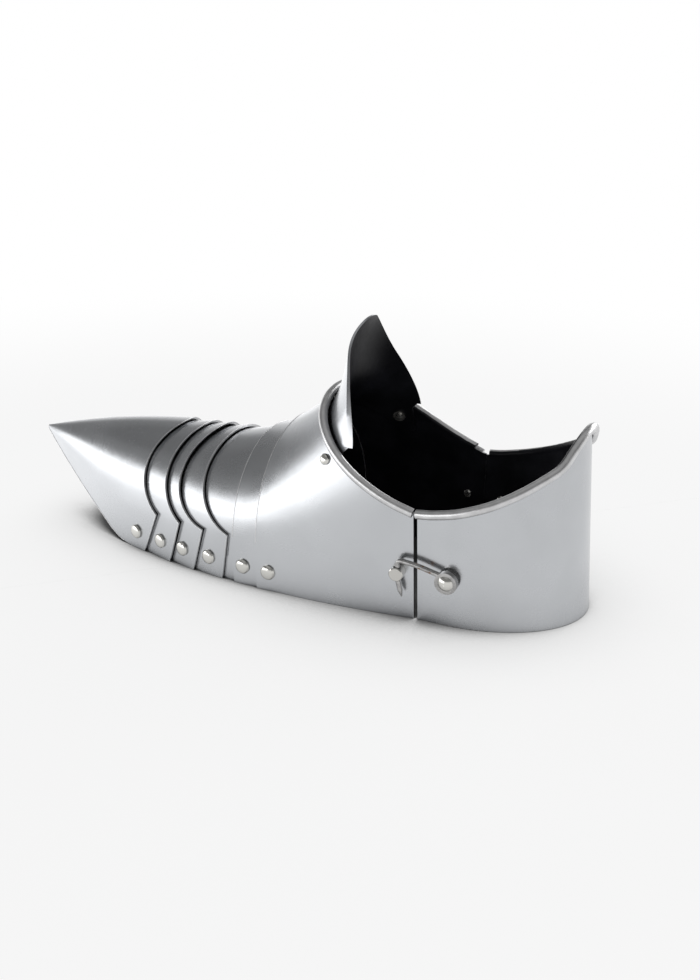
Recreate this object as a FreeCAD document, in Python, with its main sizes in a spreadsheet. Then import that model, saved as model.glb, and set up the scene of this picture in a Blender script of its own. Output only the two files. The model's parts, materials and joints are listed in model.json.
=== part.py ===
"""Articulated plate sabaton for a left foot: toe cap, five lames, vamp, tongue and hinged heel plate.

Modelled in millimetres, toe towards -X, outer side of the foot towards -Y, +Z up, floor at z = 0.
Every piece is drawn with x = 0 at the seam between vamp and heel plate, and its Placement then
moves it by half the difference of the two reaches, so that the origin lies under the middle of
the whole shoe.
"""
import FreeCAD, Part
import math
import os

import Sketcher

from FreeCAD import Placement, Rotation, Vector

SIZES = [
    ("ToeReach", 269.0, "seam to toe tip"),
    ("HeelReach", 75.0, "seam to back of heel at the floor"),
    ("WidestReach", 75.0, "seam to the widest section"),
    ("HalfWidth", 51.5, "half width at the widest section"),
    ("SeamHalfWidth", 45.5, "half width at the seam, at the floor"),
    ("SeamFlare", 3.5, "how far the side wall leans out up to the spring line at the seam"),
    ("ToeHeight", 50.0, "height of the toe tip"),
    ("TipHalfWidth", 1.0, "half width of the blunt toe tip"),
    ("WaistReach", 135.0, "seam to the lowest part of the crown line"),
    ("WaistHeight", 69.0, "height of the crown line there"),
    ("CollarReach", 66.0, "seam to the front of the ankle opening"),
    ("CollarFrontHeight", 101.0, "height of the ankle opening at the front"),
    ("CollarMidReach", 33.0, "seam to the middle point of the collar line"),
    ("CollarMidHeight", 73.0, "height of the collar line there"),
    ("CollarSideHeight", 58.6, "height of the ankle opening at the seam"),
    ("SpringRatio", 0.35, "height of the upright side walls as a share of the crown height"),
    ("Sheet", 1.2, "thickness of the steel sheet"),
    ("SideGap", 0.5, "gap between two plates at their rivet"),
    ("CrownGap", 1.2, "gap between two plates at the crown"),
    ("TailFlare", 0.02, "slope by which two plates spread apart beyond their pivot"),
    ("SoleLiftReach", 193.0, "seam to where the toe's rising lower edge would meet the floor"),
    ("SoleMidReach", 232.0, "seam to the middle point of the rising lower edge"),
    ("SoleMidHeight", 25.5, "height of that point"),
    ("SoleRound", 11.0, "length of the bend from the floor to that edge, each way"),
    ("PivotReach_1", 178.0, "seam to the pivot of toe cap and lame 1"),
    ("PivotReach_2", 158.0, "seam to the pivot of lames 1 and 2"),
    ("PivotReach_3", 141.0, "seam to the pivot of lames 2 and 3"),
    ("PivotReach_4", 122.0, "seam to the pivot of lames 3 and 4"),
    ("PivotReach_5", 99.0, "seam to the pivot of lames 4 and 5"),
    ("PivotReach_6", 83.0, "seam to the pivot of lame 5 and vamp"),
    ("PivotHeight", 10.5, "height of the pivots"),
    ("CrownEdge_1", 165.0, "seam to the rear edge of the toe cap at the crown"),
    ("CrownEdge_2", 152.0, "seam to the rear edge of lame 1 at the crown"),
    ("CrownEdge_3", 140.5, "seam to the rear edge of lame 2 at the crown"),
    ("CrownEdge_4", 130.0, "seam to the rear edge of lame 3 at the crown"),
    ("CrownEdge_5", 106.0, "seam to the front edge of lame 5 at the crown"),
    ("CrownEdge_6", 90.0, "seam to the front edge of the vamp at the crown"),
    ("KinkBehind_1", 18.5, "from pivot 1 back to the kink in the toe cap's edge"),
    ("KinkBehind_2", 16.4, "from pivot 2 back to the kink in lame 1's edge"),
    ("KinkBehind_3", 16.1, "from pivot 3 back to the kink in lame 2's edge"),
    ("KinkBehind_4", 13.2, "from pivot 4 back to the kink in lame 3's edge"),
    ("KinkHeight", 26.0, "height of that kink"),
    ("HeelBehind", 6.0, "from a pivot back to the plate edge at the floor"),
    ("Overlap", 11.0, "how far a plate runs on under its neighbour at the crown"),
    ("RivetEdge", 8.0, "from a pivot to the hidden edge of the inner plate"),
    ("ShoulderHeight", 60.0, "height where the plate edges come furthest forward"),
    ("RivetShank", 3.4, "diameter of the pivot rivets"),
    ("RivetHead", 6.8, "diameter of their domed heads"),
    ("RivetDome", 2.3, "height of the domed heads"),
    ("RivetFit", 0.05, "radial play of a shank in its hole"),
    ("SeatGap", 0.12, "play between a rivet head and the plate"),
    ("WasherGap", 0.3, "play between the inner plate and a pivot's washer"),
    ("WasherWidth", 7.2, "diameter of the washers inside"),
    ("WasherThickness", 0.8, "thickness of the washers inside"),
    ("TailWidth", 5.0, "diameter of the peened rivet ends"),
    ("TailHeight", 1.1, "height of the peened rivet ends"),
    ("RollDiameter", 4.8, "diameter of the rolled edge"),
    ("WireDiameter", 2.4, "diameter of the wire in the rolled edge"),
    ("WireFit", 0.05, "play round that wire"),
    ("RollEndBack", 7.0, "how far the collar roll stops before the seam on the far side"),
    ("SeamGap", 2.0, "gap between vamp and heel plate"),
    ("HeelStraight", 15.0, "length of the straight sides of the heel plate"),
    ("HeelLean", 6.6, "how far the back of the heel leans in over HeelLeanHeight"),
    ("HeelLeanHeight", 110.0, "height over which it leans"),
    ("HeelMidReach", 36.0, "seam to the middle point of the heel's top edge"),
    ("HeelMidHeight", 67.5, "height of that point"),
    ("HeelShoulderReach", 64.0, "seam to the foot of the rear point"),
    ("HeelShoulderHeight", 85.0, "height of that point"),
    ("HeelTopReach", 70.5, "seam to the top of the rear point"),
    ("HeelTopHeight", 101.5, "height of the line through the rear point"),
    ("TongueTop", 141.5, "height of the tongue's tip"),
    ("TongueLean", 47.5, "seam to the tongue's tip"),
    ("TongueHalfWidth", 42.0, "half width of the tongue"),
    ("TongueMidHalf", 29.5, "half width of the tongue at its middle point"),
    ("TongueMidHeight", 113.3, "height of that point"),
    ("TongueTipHalf", 6.0, "half width where the rounded tip starts"),
    ("TongueTipHeight", 139.0, "height where the rounded tip starts"),
    ("TongueShoulder", 84.0, "height where the tongue is widest"),
    ("TongueSlack", 0.3, "extra gap between tongue and vamp"),
    ("TongueFlange", 11.5, "how far the tongue runs down inside the vamp"),
    ("TongueRivetReach", 51.5, "seam to the side rivets of the tongue"),
    ("TongueRivetHeight", 77.0, "height of those rivets"),
    ("TongueCrownReach", 71.5, "seam to the middle rivet of the tongue"),
    ("TongueCrownPlay", 0.85, "play between the tongue and the washer of that rivet"),
    ("TongueSidePlay", 0.6, "the same at the side rivets"),
    ("TongueEarReach", 43.0, "seam to the rear edge of the tongue's ears inside the vamp"),
    ("SmallHead", 5.6, "diameter of the small rivet heads"),
    ("SmallShank", 2.8, "diameter of the small rivets"),
    ("SmallDome", 1.9, "height of the small heads"),
    ("StudReach", 8.3, "seam to the stud of the clasp"),
    ("ClaspHeight", 26.0, "height of stud and hook pivot"),
    ("StudDiameter", 7.4, "diameter of the stud"),
    ("StudLength", 5.5, "length of the stud"),
    ("HookPivotReach", 17.8, "seam to the pivot of the hook"),
    ("HookDiameter", 2.6, "diameter of the hook's bar and prong"),
    ("HookPoint", 3.6, "length of the prong's point"),
    ("HookShank", 4.0, "diameter of the hook's rivet and of the stud's tenon"),
    ("HookRivetDome", 1.9, "height of the hook's rivet head"),
    ("ProngHole", 3.6, "diameter of the hole across the stud"),
    ("HookStandoff", 3.4, "from the plate to the middle of the hook"),
    ("HookEye", 11.6, "diameter of the hook's eye"),
    ("HookEyeSheet", 3.0, "thickness of the hook's eye"),
    ("HookRise", 7.6, "height of the hook's shoulder over its pivot"),
    ("HookDrop", 12.6, "depth of the prong's point under the pivot"),
    ("HookRivetHead", 8.0, "diameter of the hook's rivet head"),
    ("HingeBottom", 14.0, "height of the hinge's lower end"),
    ("HingeHeight", 26.0, "height of the hinge"),
    ("HingeLeaf", 15.0, "width of a hinge leaf from the pin"),
    ("HingeSheet", 1.2, "thickness of the hinge leaves"),
    ("HingePin", 2.4, "diameter of the hinge pin"),
    ("KnuckleDiameter", 5.0, "diameter of the hinge knuckles"),
    ("KnuckleGap", 0.4, "gap between two knuckles"),
]

PIVOTS = 6
CHEEK = 12.0
FLOOR_MARGIN = 6.0
TOP_MARGIN = 260.0

doc = FreeCAD.newDocument("sabaton")
sheet = doc.addObject("Spreadsheet::Sheet", "Sizes")
for row, (alias, value, meaning) in enumerate(SIZES, start=1):
    sheet.set("A%d" % row, alias)
    sheet.set("B%d" % row, str(value))
    sheet.set("C%d" % row, meaning)
    sheet.setAlias("B%d" % row, alias)
doc.recompute()


def size(alias):
    return float(sheet.get(alias))


def arc_drop(reach, rise, x):
    """How far a circular arc through two points `reach` apart and `rise` lower has dropped at x."""
    radius = (reach * reach + rise * rise) / (2 * rise)
    return radius - math.sqrt(radius * radius - x * x)


def half_width(x):
    """Half width of the shoe in plan: a pointed arch in front, a flatter arc behind."""
    widest = -size("WidestReach")
    if x <= widest:
        reach = size("ToeReach") - size("WidestReach")
        return size("HalfWidth") - arc_drop(reach, size("HalfWidth") - size("TipHalfWidth"), x - widest)
    waist = size("HalfWidth") - size("SeamHalfWidth")
    return size("HalfWidth") - arc_drop(size("WidestReach"), waist, x - widest)


def spring_half_width(x):
    """Half width at the top of the upright side walls, which lean out towards the seam."""
    share = max(0.0, 1 + x / size("WidestReach"))
    return half_width(x) + size("SeamFlare") * share * share


def crown(x):
    """Height of the crown line: one parabola falls to the toe and another rises to the collar."""
    run = x + size("WaistReach")
    if run < 0:
        fall = size("WaistHeight") - size("ToeHeight")
        return size("WaistHeight") - fall * (run / (size("ToeReach") - size("WaistReach"))) ** 2
    rise = size("CollarFrontHeight") - size("WaistHeight")
    return size("WaistHeight") + rise * (run / (size("WaistReach") - size("CollarReach"))) ** 2


def slope(curve, x):
    return (curve(x + 0.5) - curve(x - 0.5)) / 1.0


def polyline(points):
    """A function that runs straight from point to point, and on past both ends."""
    def value(x):
        inner = [k for k in range(1, len(points) - 1) if x > points[k][0]]
        k = inner[-1] if inner else 0
        (x0, y0), (x1, y1) = points[k], points[k + 1]
        return y0 + (y1 - y0) * (x - x0) / (x1 - x0)
    return value


def vamp_point(x, z):
    """Point on the outer side of the near wall or shoulder at x and height z."""
    top = crown(x)
    spring = size("SpringRatio") * top
    if z >= top:
        return Vector(x, 0, top)
    if z > spring:
        share = (z - spring) / (top - spring)
        return Vector(x, -spring_half_width(x) * math.sqrt(1 - share * share), z)
    lean = spring_half_width(x) - half_width(x)
    return Vector(x, -half_width(x) - lean * z / spring, z)


def vamp_normal(x, z):
    """Outward direction there, from two short steps along the surface."""
    here = vamp_point(x, z)
    along = vamp_point(x + 0.2, z) - vamp_point(x - 0.2, z)
    up = vamp_point(x, z + 0.2) - vamp_point(x, z - 0.2)
    normal = along.cross(up)
    normal.normalize()
    if normal.y * here.y < 0:
        normal = normal * -1
    return normal


def line(a, b):
    return Part.LineSegment(Vector(*a), Vector(*b))


def closed(points):
    flat = [(p[0], p[1], 0) for p in points]
    return [line(a, b) for a, b in zip(flat, flat[1:] + flat[:1])]


def bind(feature, **links):
    for name, expression in links.items():
        feature.setExpression(name.replace("__", "."), expression)


def new_body(label):
    body = doc.addObject("PartDesign::Body", label)
    body.Label = label
    body.AllowCompound = True
    bind(body, Placement__Base__x="(Sizes.ToeReach - Sizes.HeelReach) / 2")
    return body


def plane(body, role):
    return [f for f in body.Origin.OriginFeatures if f.Role == role][0]


def sketch(body, name, role, geometry, offset=None):
    """A sketch on an origin plane of its own body, moved by `offset` in that plane's axes."""
    flat = body.newObject("Sketcher::SketchObject", name)
    flat.AttachmentSupport = [(plane(body, role), "")]
    flat.MapMode = "FlatFace"
    if offset is not None:
        flat.AttachmentOffset = offset
    flat.addGeometry(geometry, False)
    return flat


def section(body, name, x, edges):
    """A sketch square to the length of the shoe at x."""
    return sketch(body, name, "YZ_Plane", edges, Placement(Vector(0, 0, x), Rotation()))


def arch(base_half, spring_half, spring, top, base=0.0):
    """Closed outline of an arch: two side walls, half an ellipse over them and a straight foot."""
    centre = Vector(0, spring, 0)
    side = Vector(spring_half, spring, 0)
    apex = Vector(0, top, 0)
    if spring_half >= top - spring:
        over = Part.ArcOfEllipse(Part.Ellipse(side, apex, centre), 0, math.pi)
    else:
        far_side = Vector(-spring_half, spring, 0)
        over = Part.ArcOfEllipse(Part.Ellipse(apex, far_side, centre), -math.pi / 2, math.pi / 2)
    return [
        line((base_half, base, 0), (spring_half, spring, 0)),
        over,
        line((-spring_half, spring, 0), (-base_half, base, 0)),
        line((-base_half, base, 0), (base_half, base, 0)),
    ]


def loft(body, kind, name, sections):
    feature = body.newObject("PartDesign::" + kind, name)
    feature.Profile = sections[0]
    feature.Sections = sections[1:]
    return feature


def shell(body, stations, outer, inner):
    """Outer loft with the inner one cut from it. `outer` and `inner` give an arch's sizes at x."""
    skins = []
    for kind, shape, places in (("Outer", outer, stations[0]), ("Inner", inner, stations[1])):
        drawn = [section(body, "%s%d" % (kind, k), x, arch(*shape(x))) for k, x in enumerate(places)]
        skins.append(drawn)
    loft(body, "AdditiveLoft", "OuterSkin", skins[0])
    return loft(body, "SubtractiveLoft", "InnerSkin", skins[1])


def cut_through(body, name, role, loops, offset=None):
    """Cut closed loops right through the body, both ways from their plane."""
    feature = body.newObject("PartDesign::Pocket", name)
    feature.Profile = sketch(body, name + "Outline", role, [e for loop in loops for e in loop], offset)
    feature.Type = "ThroughAll"
    feature.SideType = "Symmetric"
    return feature


def edge_waste(foot, kink, shoulder, top, side):
    """Waste beyond a plate edge: up from the floor to the kink, then an arc over the shoulder."""
    run = (foot[0] - kink[0]) / (kink[1] - foot[1])
    start = (foot[0] + run * FLOOR_MARGIN, -FLOOR_MARGIN, 0)
    bend = (kink[0], kink[1], 0)
    peak = (top[0], top[1], 0)
    high = (top[0], TOP_MARGIN, 0)
    far_high = (side * TOP_MARGIN * 2, TOP_MARGIN, 0)
    far_low = (side * TOP_MARGIN * 2, -FLOOR_MARGIN, 0)
    return [
        line(start, bend),
        Part.Arc(Vector(*bend), Vector(shoulder[0], shoulder[1], 0), Vector(*peak)),
        line(peak, high),
        line(high, far_high),
        line(far_high, far_low),
        line(far_low, start),
    ]


def pivot_x(k):
    return -size("PivotReach_%d" % k)


def edge_x(k):
    return -size("CrownEdge_%d" % k)


LAYER = size("Sheet") + size("SideGap")
CROWN_LAYER = size("Sheet") + size("CrownGap")


def pivot_half(k):
    """Half width of the outer plate at pivot k."""
    return half_width(pivot_x(k))


def wall_run(start, end, start_inside, end_inside):
    """Two control points of a plate's wall: at each pivot it is the outer or the inner plate."""
    return [
        (pivot_x(start), pivot_half(start) - LAYER * start_inside),
        (pivot_x(end), pivot_half(end) - LAYER * end_inside),
    ]


RUNS = [
    wall_run(1, 2, 1, 0),
    wall_run(2, 3, 1, 0),
    wall_run(3, 4, 1, 0),
    wall_run(4, 5, 1, 1),
    wall_run(5, 6, 0, 1),
]


def run_slope(k):
    (x0, y0), (x1, y1) = RUNS[k]
    return (y1 - y0) / (x1 - x0)


def walls(index):
    """Half width of lame `index` (1 to 5) along x, parallel to its neighbours beyond its pivots."""
    own = RUNS[index - 1]
    before = slope(half_width, own[0][0] - CHEEK) if index == 1 else run_slope(index - 2)
    after = slope(half_width, own[1][0] + CHEEK) if index == 5 else run_slope(index)
    before += -size("TailFlare") if index == 5 else size("TailFlare")
    after += -size("TailFlare") if index >= 4 else size("TailFlare")
    head = (own[0][0] - CHEEK, own[0][1] - before * CHEEK)
    tail = (own[1][0] + CHEEK, own[1][1] + after * CHEEK)
    return polyline([head] + own + [tail])


def toe_walls(x):
    """The toe cap follows the plan of the shoe and flares over lame 1 behind its pivot."""
    if x <= pivot_x(1):
        return half_width(x)
    return pivot_half(1) + (run_slope(0) + size("TailFlare")) * (x - pivot_x(1))


def vamp_walls(x):
    """The vamp flares a little over lame 5 in front of its pivot."""
    if x >= pivot_x(6):
        return half_width(x)
    return pivot_half(6) + (run_slope(4) - size("TailFlare")) * (x - pivot_x(6))


def crown_runs(index):
    """Height of lame `index` along x. Each plate dips under the one that covers it."""
    drop = CROWN_LAYER
    over = size("Overlap")
    e = [None] + [edge_x(k) for k in range(1, PIVOTS + 1)]
    if index <= 3:
        front, rear = e[index], e[index + 1]
        under = 1 if index == 1 else 2
        return polyline([
            (front - over, crown(front - over) - under * drop),
            (front, crown(front) - drop),
            (rear, crown(rear)),
            (rear + over, crown(rear + over)),
        ])
    if index == 4:
        return polyline([
            (e[4] - over, crown(e[4] - over) - 2 * drop),
            (e[4], crown(e[4]) - drop),
            (e[5], crown(e[5]) - drop),
            (e[5] + over, crown(e[5] + over) - 1.6 * drop),
        ])
    return polyline([
        (e[5], crown(e[5])),
        (e[6], crown(e[6]) - 1.4 * drop),
        (e[6] + over, crown(e[6] + over) - 1.3 * drop),
        (e[6] + 2 * over, crown(e[6] + 2 * over) - 1.3 * drop),
    ])


def skin(half, top, inset):
    """Arch sizes along x for a skin of half width and crown height, set in by the sheet."""
    def sizes_at(x):
        side = inset / math.cos(math.atan(slope(half, x)))
        over = inset / math.cos(math.atan(slope(top, x)))
        spring = size("SpringRatio") * top(x)
        return (half(x) - side, half(x) - side, spring, top(x) - over, -1.5 * inset)
    return sizes_at


def pivot_frame(k):
    """Where pivot k crosses the outer wall on the near side, and the wall's angle in plan."""
    slopes = {1: (slope(half_width, pivot_x(1) - CHEEK), run_slope(0)), 6: (run_slope(4), 0.0)}
    before, after = slopes.get(k, (run_slope(max(k - 2, 0)), run_slope(min(k - 1, 4))))
    turn = math.degrees(math.atan((before + after) / 2))
    return Vector(pivot_x(k), -pivot_half(k), size("PivotHeight")), turn


def pivot_axis(k):
    """Spot and outward direction of pivot k on the near side."""
    spot, turn = pivot_frame(k)
    angle = math.radians(turn)
    return spot, Vector(-math.sin(angle), -math.cos(angle), 0)


def hole(body, name, spot, normal, diameter):
    """A round hole through the wall at `spot`, along `normal`. `diameter` is an expression."""
    offset = Placement(spot, Rotation(Vector(0, 0, 1), normal))
    flat = sketch(body, name + "Round", "XY_Plane", [Part.Circle(Vector(), Vector(0, 0, 1), 1)], offset)
    flat.addConstraint(Sketcher.Constraint("Radius", 0, 1.0))
    flat.setExpression("Constraints[0]", diameter + " / 2")
    pocket = body.newObject("PartDesign::Pocket", name)
    pocket.Profile = flat
    pocket.Type = "Length"
    pocket.SideType = "Symmetric"
    pocket.Length = CHEEK
    return pocket


def rivet_holes(body, pivots, diameter):
    """Round holes for the pivots on both sides, square to the wall."""
    cuts = [hole(body, "PivotHole%d" % k, *pivot_axis(k), diameter) for k in pivots]
    mirror(body, cuts, "XZ_Plane")


def mirror(body, originals, role, name="OtherSide"):
    doc.recompute()
    other = body.newObject("PartDesign::Mirrored", name)
    other.Originals = originals
    other.MirrorPlane = (plane(body, role), [""])
    body.Tip = other
    return other


HOLE = "(Sizes.RivetShank + 2 * Sizes.RivetFit)"


def rear_edge(k):
    """Rear edge of the outer plate at pivot k, from the floor over the kink to the crown."""
    kink = pivot_x(k) + size("KinkBehind_%d" % k)
    crown_x = edge_x(k)
    lead = {1: 6.0, 2: 4.0, 3: 5.5, 4: 1.5}[k]
    return (
        (pivot_x(k) + size("HeelBehind") + k - 1, 0),
        (kink, size("KinkHeight")),
        (crown_x - lead, size("ShoulderHeight")),
        (crown_x, crown(crown_x) + 1),
        1,
    )


def hidden_front_edge(k):
    """Front edge of the inner plate at pivot k, under the plate in front of it."""
    foot = pivot_x(k) - size("RivetEdge")
    crown_x = edge_x(k) - size("Overlap")
    lead = {1: 4.0, 2: 3.0, 3: 4.0, 4: 1.0}[k]
    return (
        (foot, 0),
        (foot, size("KinkHeight") - 4),
        (crown_x - lead, size("ShoulderHeight") - 4),
        (crown_x, crown(crown_x) + 1),
        -1,
    )


def upright_edge(foot_x, crown_x, side):
    """A nearly upright edge that bends a little at the shoulder."""
    return (
        (foot_x, 0),
        (foot_x, size("KinkHeight")),
        ((2 * foot_x + crown_x) / 3 + 0.6, size("ShoulderHeight") - 8),
        (crown_x, crown(crown_x) + 1),
        side,
    )


def make_toe_cap():
    body = new_body("toe_cap")
    rear = pivot_x(1) + size("KinkBehind_1") + 4
    tip = -size("ToeReach")
    length = size("ToeReach") - size("PivotReach_1")
    shares = (0.0, 0.2, 0.45, 0.7, 1.0)
    outer_x = [tip] + [tip + share * length for share in shares[1:]] + [rear]
    inner_x = [tip + 7.0] + outer_x[1:]
    rise = size("SoleMidHeight") / (size("SoleMidReach") - size("SoleLiftReach"))

    def outer(x):
        base = min(max(0.0, -(x + size("SoleLiftReach")) * rise), crown(x) - 2.5)
        spring = base + size("SpringRatio") * (crown(x) - base)
        return (toe_walls(x), toe_walls(x), spring, crown(x), 0.0)

    def inner(x):
        side = size("Sheet") / math.cos(math.atan(slope(toe_walls, x)))
        top = size("Sheet") / math.cos(math.atan(slope(crown, x)))
        spring = outer(x)[2]
        return (toe_walls(x) - side, toe_walls(x) - side, spring, crown(x) - top, -2.0)

    shell(body, (outer_x, inner_x), outer, inner)
    tip_low = (tip - 4, size("ToeHeight") + 0.8, 0)
    lift = Vector(-size("SoleLiftReach"), 0, 0)
    mid = Vector(-size("SoleMidReach"), size("SoleMidHeight"), 0)
    rising = (mid - lift).normalize()
    enter = lift + rising * size("SoleRound")
    leave = lift + Vector(size("SoleRound"), 0, 0)
    bend = lift + (rising + Vector(1, 0, 0)) * (size("SoleRound") * 0.5 * 0.51)
    sole = [
        Part.Arc(Vector(*tip_low), mid, enter),
        Part.Arc(enter, bend, leave),
        line(leave, (leave.x, -FLOOR_MARGIN, 0)),
        line((leave.x, -FLOOR_MARGIN, 0), (tip_low[0], -FLOOR_MARGIN, 0)),
        line((tip_low[0], -FLOOR_MARGIN, 0), tip_low),
    ]
    cut_through(body, "SoleEdge", "XZ_Plane", [sole])
    cut_through(body, "RearEdge", "XZ_Plane", [edge_waste(*rear_edge(1))])
    rivet_holes(body, [1], HOLE)
    return body


def make_lame(index):
    body = new_body("lame_%d" % index)
    half = walls(index)
    top = crown_runs(index)
    if index <= 3:
        front, rear = hidden_front_edge(index), rear_edge(index + 1)
        reach = (pivot_x(index) - CHEEK, pivot_x(index + 1) + size("KinkBehind_%d" % (index + 1)) + 3)
    elif index == 4:
        front = hidden_front_edge(4)
        rear = upright_edge(pivot_x(5) + size("RivetEdge"), edge_x(5) + size("Overlap"), 1)
        reach = (edge_x(4) - size("Overlap") - 4, pivot_x(5) + size("RivetEdge") + 4)
    else:
        front = upright_edge(pivot_x(5) - 6.0, edge_x(5), -1)
        rear = upright_edge(pivot_x(6) + size("RivetEdge"), edge_x(6) + 8.5, 1)
        reach = (pivot_x(5) - 10, pivot_x(6) + size("RivetEdge") + 4)
    places = [reach[0], pivot_x(index), pivot_x(index + 1), reach[1]]
    if places[1] - places[0] < 3:
        places.pop(1)
    shell(body, (places, places), skin(half, top, 0), skin(half, top, size("Sheet")))
    cut_through(body, "FrontEdge", "XZ_Plane", [edge_waste(*front)])
    cut_through(body, "RearEdge", "XZ_Plane", [edge_waste(*rear)])
    rivet_holes(body, [index, index + 1], HOLE)
    return body


def collar_arc():
    """The collar line seen from the side: one arc from the seam to the front of the opening."""
    seam = Vector(0, size("CollarSideHeight"), 0)
    mid = Vector(-size("CollarMidReach"), size("CollarMidHeight"), 0)
    front = Vector(-size("CollarReach"), size("CollarFrontHeight"), 0)
    return Part.Arc(seam, mid, front)


def height_on(arc, x):
    """Height of an arc, drawn in side view, at x."""
    circle = arc.Circle if hasattr(arc, "Circle") else arc
    return circle.Center.y - math.sqrt(circle.Radius ** 2 - (x - circle.Center.x) ** 2)


def make_vamp_shell():
    """The vamp without its rolled edge."""
    body = doc.addObject("PartDesign::Body", "vamp_shell")
    front = pivot_x(6) - RIVET_LEAD
    rear = -size("SeamGap") / 2
    collar = size("CollarReach")
    places = [front - 4, pivot_x(6), -collar, -0.68 * collar, -0.42 * collar, -0.18 * collar, rear + 3]

    def outer(x):
        lean = spring_half_width(x) - half_width(x)
        spring = size("SpringRatio") * crown(x)
        return (vamp_walls(x), vamp_walls(x) + lean, spring, crown(x), 0.0)

    def inner(x):
        base, spring_half, spring, top, _ = outer(x)
        over = size("Sheet") / math.cos(math.atan(slope(crown, x)))
        below = 2.0
        lean = (spring_half - base) * below / spring
        return (base - size("Sheet") - lean, spring_half - size("Sheet"), spring, top - over, -below)

    shell(body, (places, places), outer, inner)
    arc = collar_arc().toShape().Curve
    seam = (3 * size("SeamGap"), height_on(arc, 3 * size("SeamGap")), 0)
    mid = Vector(-size("CollarMidReach"), size("CollarMidHeight"), 0)
    front_top = (-size("CollarReach"), size("CollarFrontHeight"), 0)
    opening = [
        Part.Arc(Vector(*seam), mid, Vector(*front_top)),
        line(front_top, (front_top[0], TOP_MARGIN, 0)),
        line((front_top[0], TOP_MARGIN, 0), (seam[0], TOP_MARGIN, 0)),
        line((seam[0], TOP_MARGIN, 0), seam),
    ]
    cut_through(body, "AnkleOpening", "XZ_Plane", [opening])
    behind = closed([(rear, -FLOOR_MARGIN), (rear, TOP_MARGIN), (20, TOP_MARGIN), (20, -FLOOR_MARGIN)])
    cut_through(body, "SeamEdge", "XZ_Plane", [behind])
    edge = upright_edge(front, edge_x(6), -1)
    cut_through(body, "FrontEdge", "XZ_Plane", [edge_waste(*edge)])
    return body


RIVET_LEAD = 7.0
ROLL_SINK = 0.15


def rounded_path(points):
    """A wire through free space: straight runs joined by the largest tangent arcs they allow."""
    edges = []
    start = points[0]
    for before, corner, after in zip(points, points[1:], points[2:]):
        first = corner - before
        second = after - corner
        turn = first.getAngle(second)
        cut = 0.45 * min(first.Length, second.Length)
        if turn < 1e-4:
            continue
        first.normalize()
        second.normalize()
        enter = corner - first * cut
        leave = corner + second * cut
        inward = second - first
        inward.normalize()
        radius = cut / math.tan(turn / 2)
        centre = corner + inward * (radius / math.cos(turn / 2))
        middle = centre - inward * radius
        edges.append(Part.LineSegment(start, enter).toShape())
        edges.append(Part.Arc(enter, middle, leave).toShape())
        start = leave
    edges.append(Part.LineSegment(start, points[-1]).toShape())
    return Part.Wire(edges)


def spread(points):
    """Move the inner points outwards, so that the rounded path keeps to the curve they mark."""
    moved = [p + (p - (a + b) * 0.5) * 0.24 for a, p, b in zip(points, points[1:], points[2:])]
    return points[:1] + moved + points[-1:]


def tube(points, diameter):
    """A round bar along the rounded path."""
    path = rounded_path(points)
    direction = points[1] - points[0]
    ring = Part.Wire([Part.Circle(points[0], direction, diameter / 2).toShape()])
    return path.makePipeShell([ring], True, False)


def mirrored(points):
    """Points on the near side, from the seam to the middle, carried on round the far side."""
    return points + [Vector(p.x, -p.y, p.z) for p in reversed(points[:-1])]


COLLAR_SHARES = (0.0, 0.16, 0.32, 0.48, 0.62, 0.74, 0.84, 0.92, 0.98)


def collar_points():
    """Middle line of the rolled collar edge on the near side, from the seam to the front."""
    arc = collar_arc().toShape().Curve
    out = size("RollDiameter") / 2 - size("Sheet") - ROLL_SINK
    points = []
    for share in COLLAR_SHARES:
        x = -size("SeamGap") / 2 - share * (size("CollarReach") - size("SeamGap") / 2)
        z = height_on(arc, x)
        points.append(vamp_point(x, z) + vamp_normal(x, z) * out)
    front = Vector(-size("CollarReach"), 0, crown(-size("CollarReach")))
    points.append(front + Vector(-slope(crown, front.x), 0, 1).normalize() * out)
    return spread(mirrored(points))


def heel_half(z):
    return size("SeamHalfWidth") + size("SeamFlare") * z / (size("SpringRatio") * crown(0))


def heel_reach(z):
    return size("HeelReach") - size("HeelLean") * z / size("HeelLeanHeight")


def heel_top_curves():
    seam = Vector(0, size("CollarSideHeight"), 0)
    mid = Vector(size("HeelMidReach"), size("HeelMidHeight"), 0)
    shoulder = Vector(size("HeelShoulderReach"), size("HeelShoulderHeight"), 0)
    peak = Vector(size("HeelTopReach"), size("HeelTopHeight"), 0)
    return Part.Arc(seam, mid, shoulder), shoulder, peak


def heel_top(x):
    """Height of the heel's top edge at x."""
    arc, shoulder, peak = heel_top_curves()
    if x <= shoulder.x:
        return height_on(arc.toShape().Curve, x)
    return shoulder.y + (peak.y - shoulder.y) * (x - shoulder.x) / (peak.x - shoulder.x)


def heel_outline(z, inset, front):
    """Plan of the heel plate at height z: straight sides and half an ellipse behind."""
    half = heel_half(z) - inset
    reach = heel_reach(z) - inset
    start = size("HeelStraight")
    depth = reach - start
    centre = Vector(start, 0, 0)
    side = Vector(start, half, 0)
    back = Vector(reach, 0, 0)
    if depth >= half:
        round_end = Part.ArcOfEllipse(Part.Ellipse(back, side, centre), -math.pi / 2, math.pi / 2)
    else:
        near = Vector(start, -half, 0)
        round_end = Part.ArcOfEllipse(Part.Ellipse(near, back, centre), 0, math.pi)
    return [
        line((front, -half, 0), (start, -half, 0)),
        round_end,
        line((start, half, 0), (front, half, 0)),
        line((front, half, 0), (front, -half, 0)),
    ]


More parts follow.
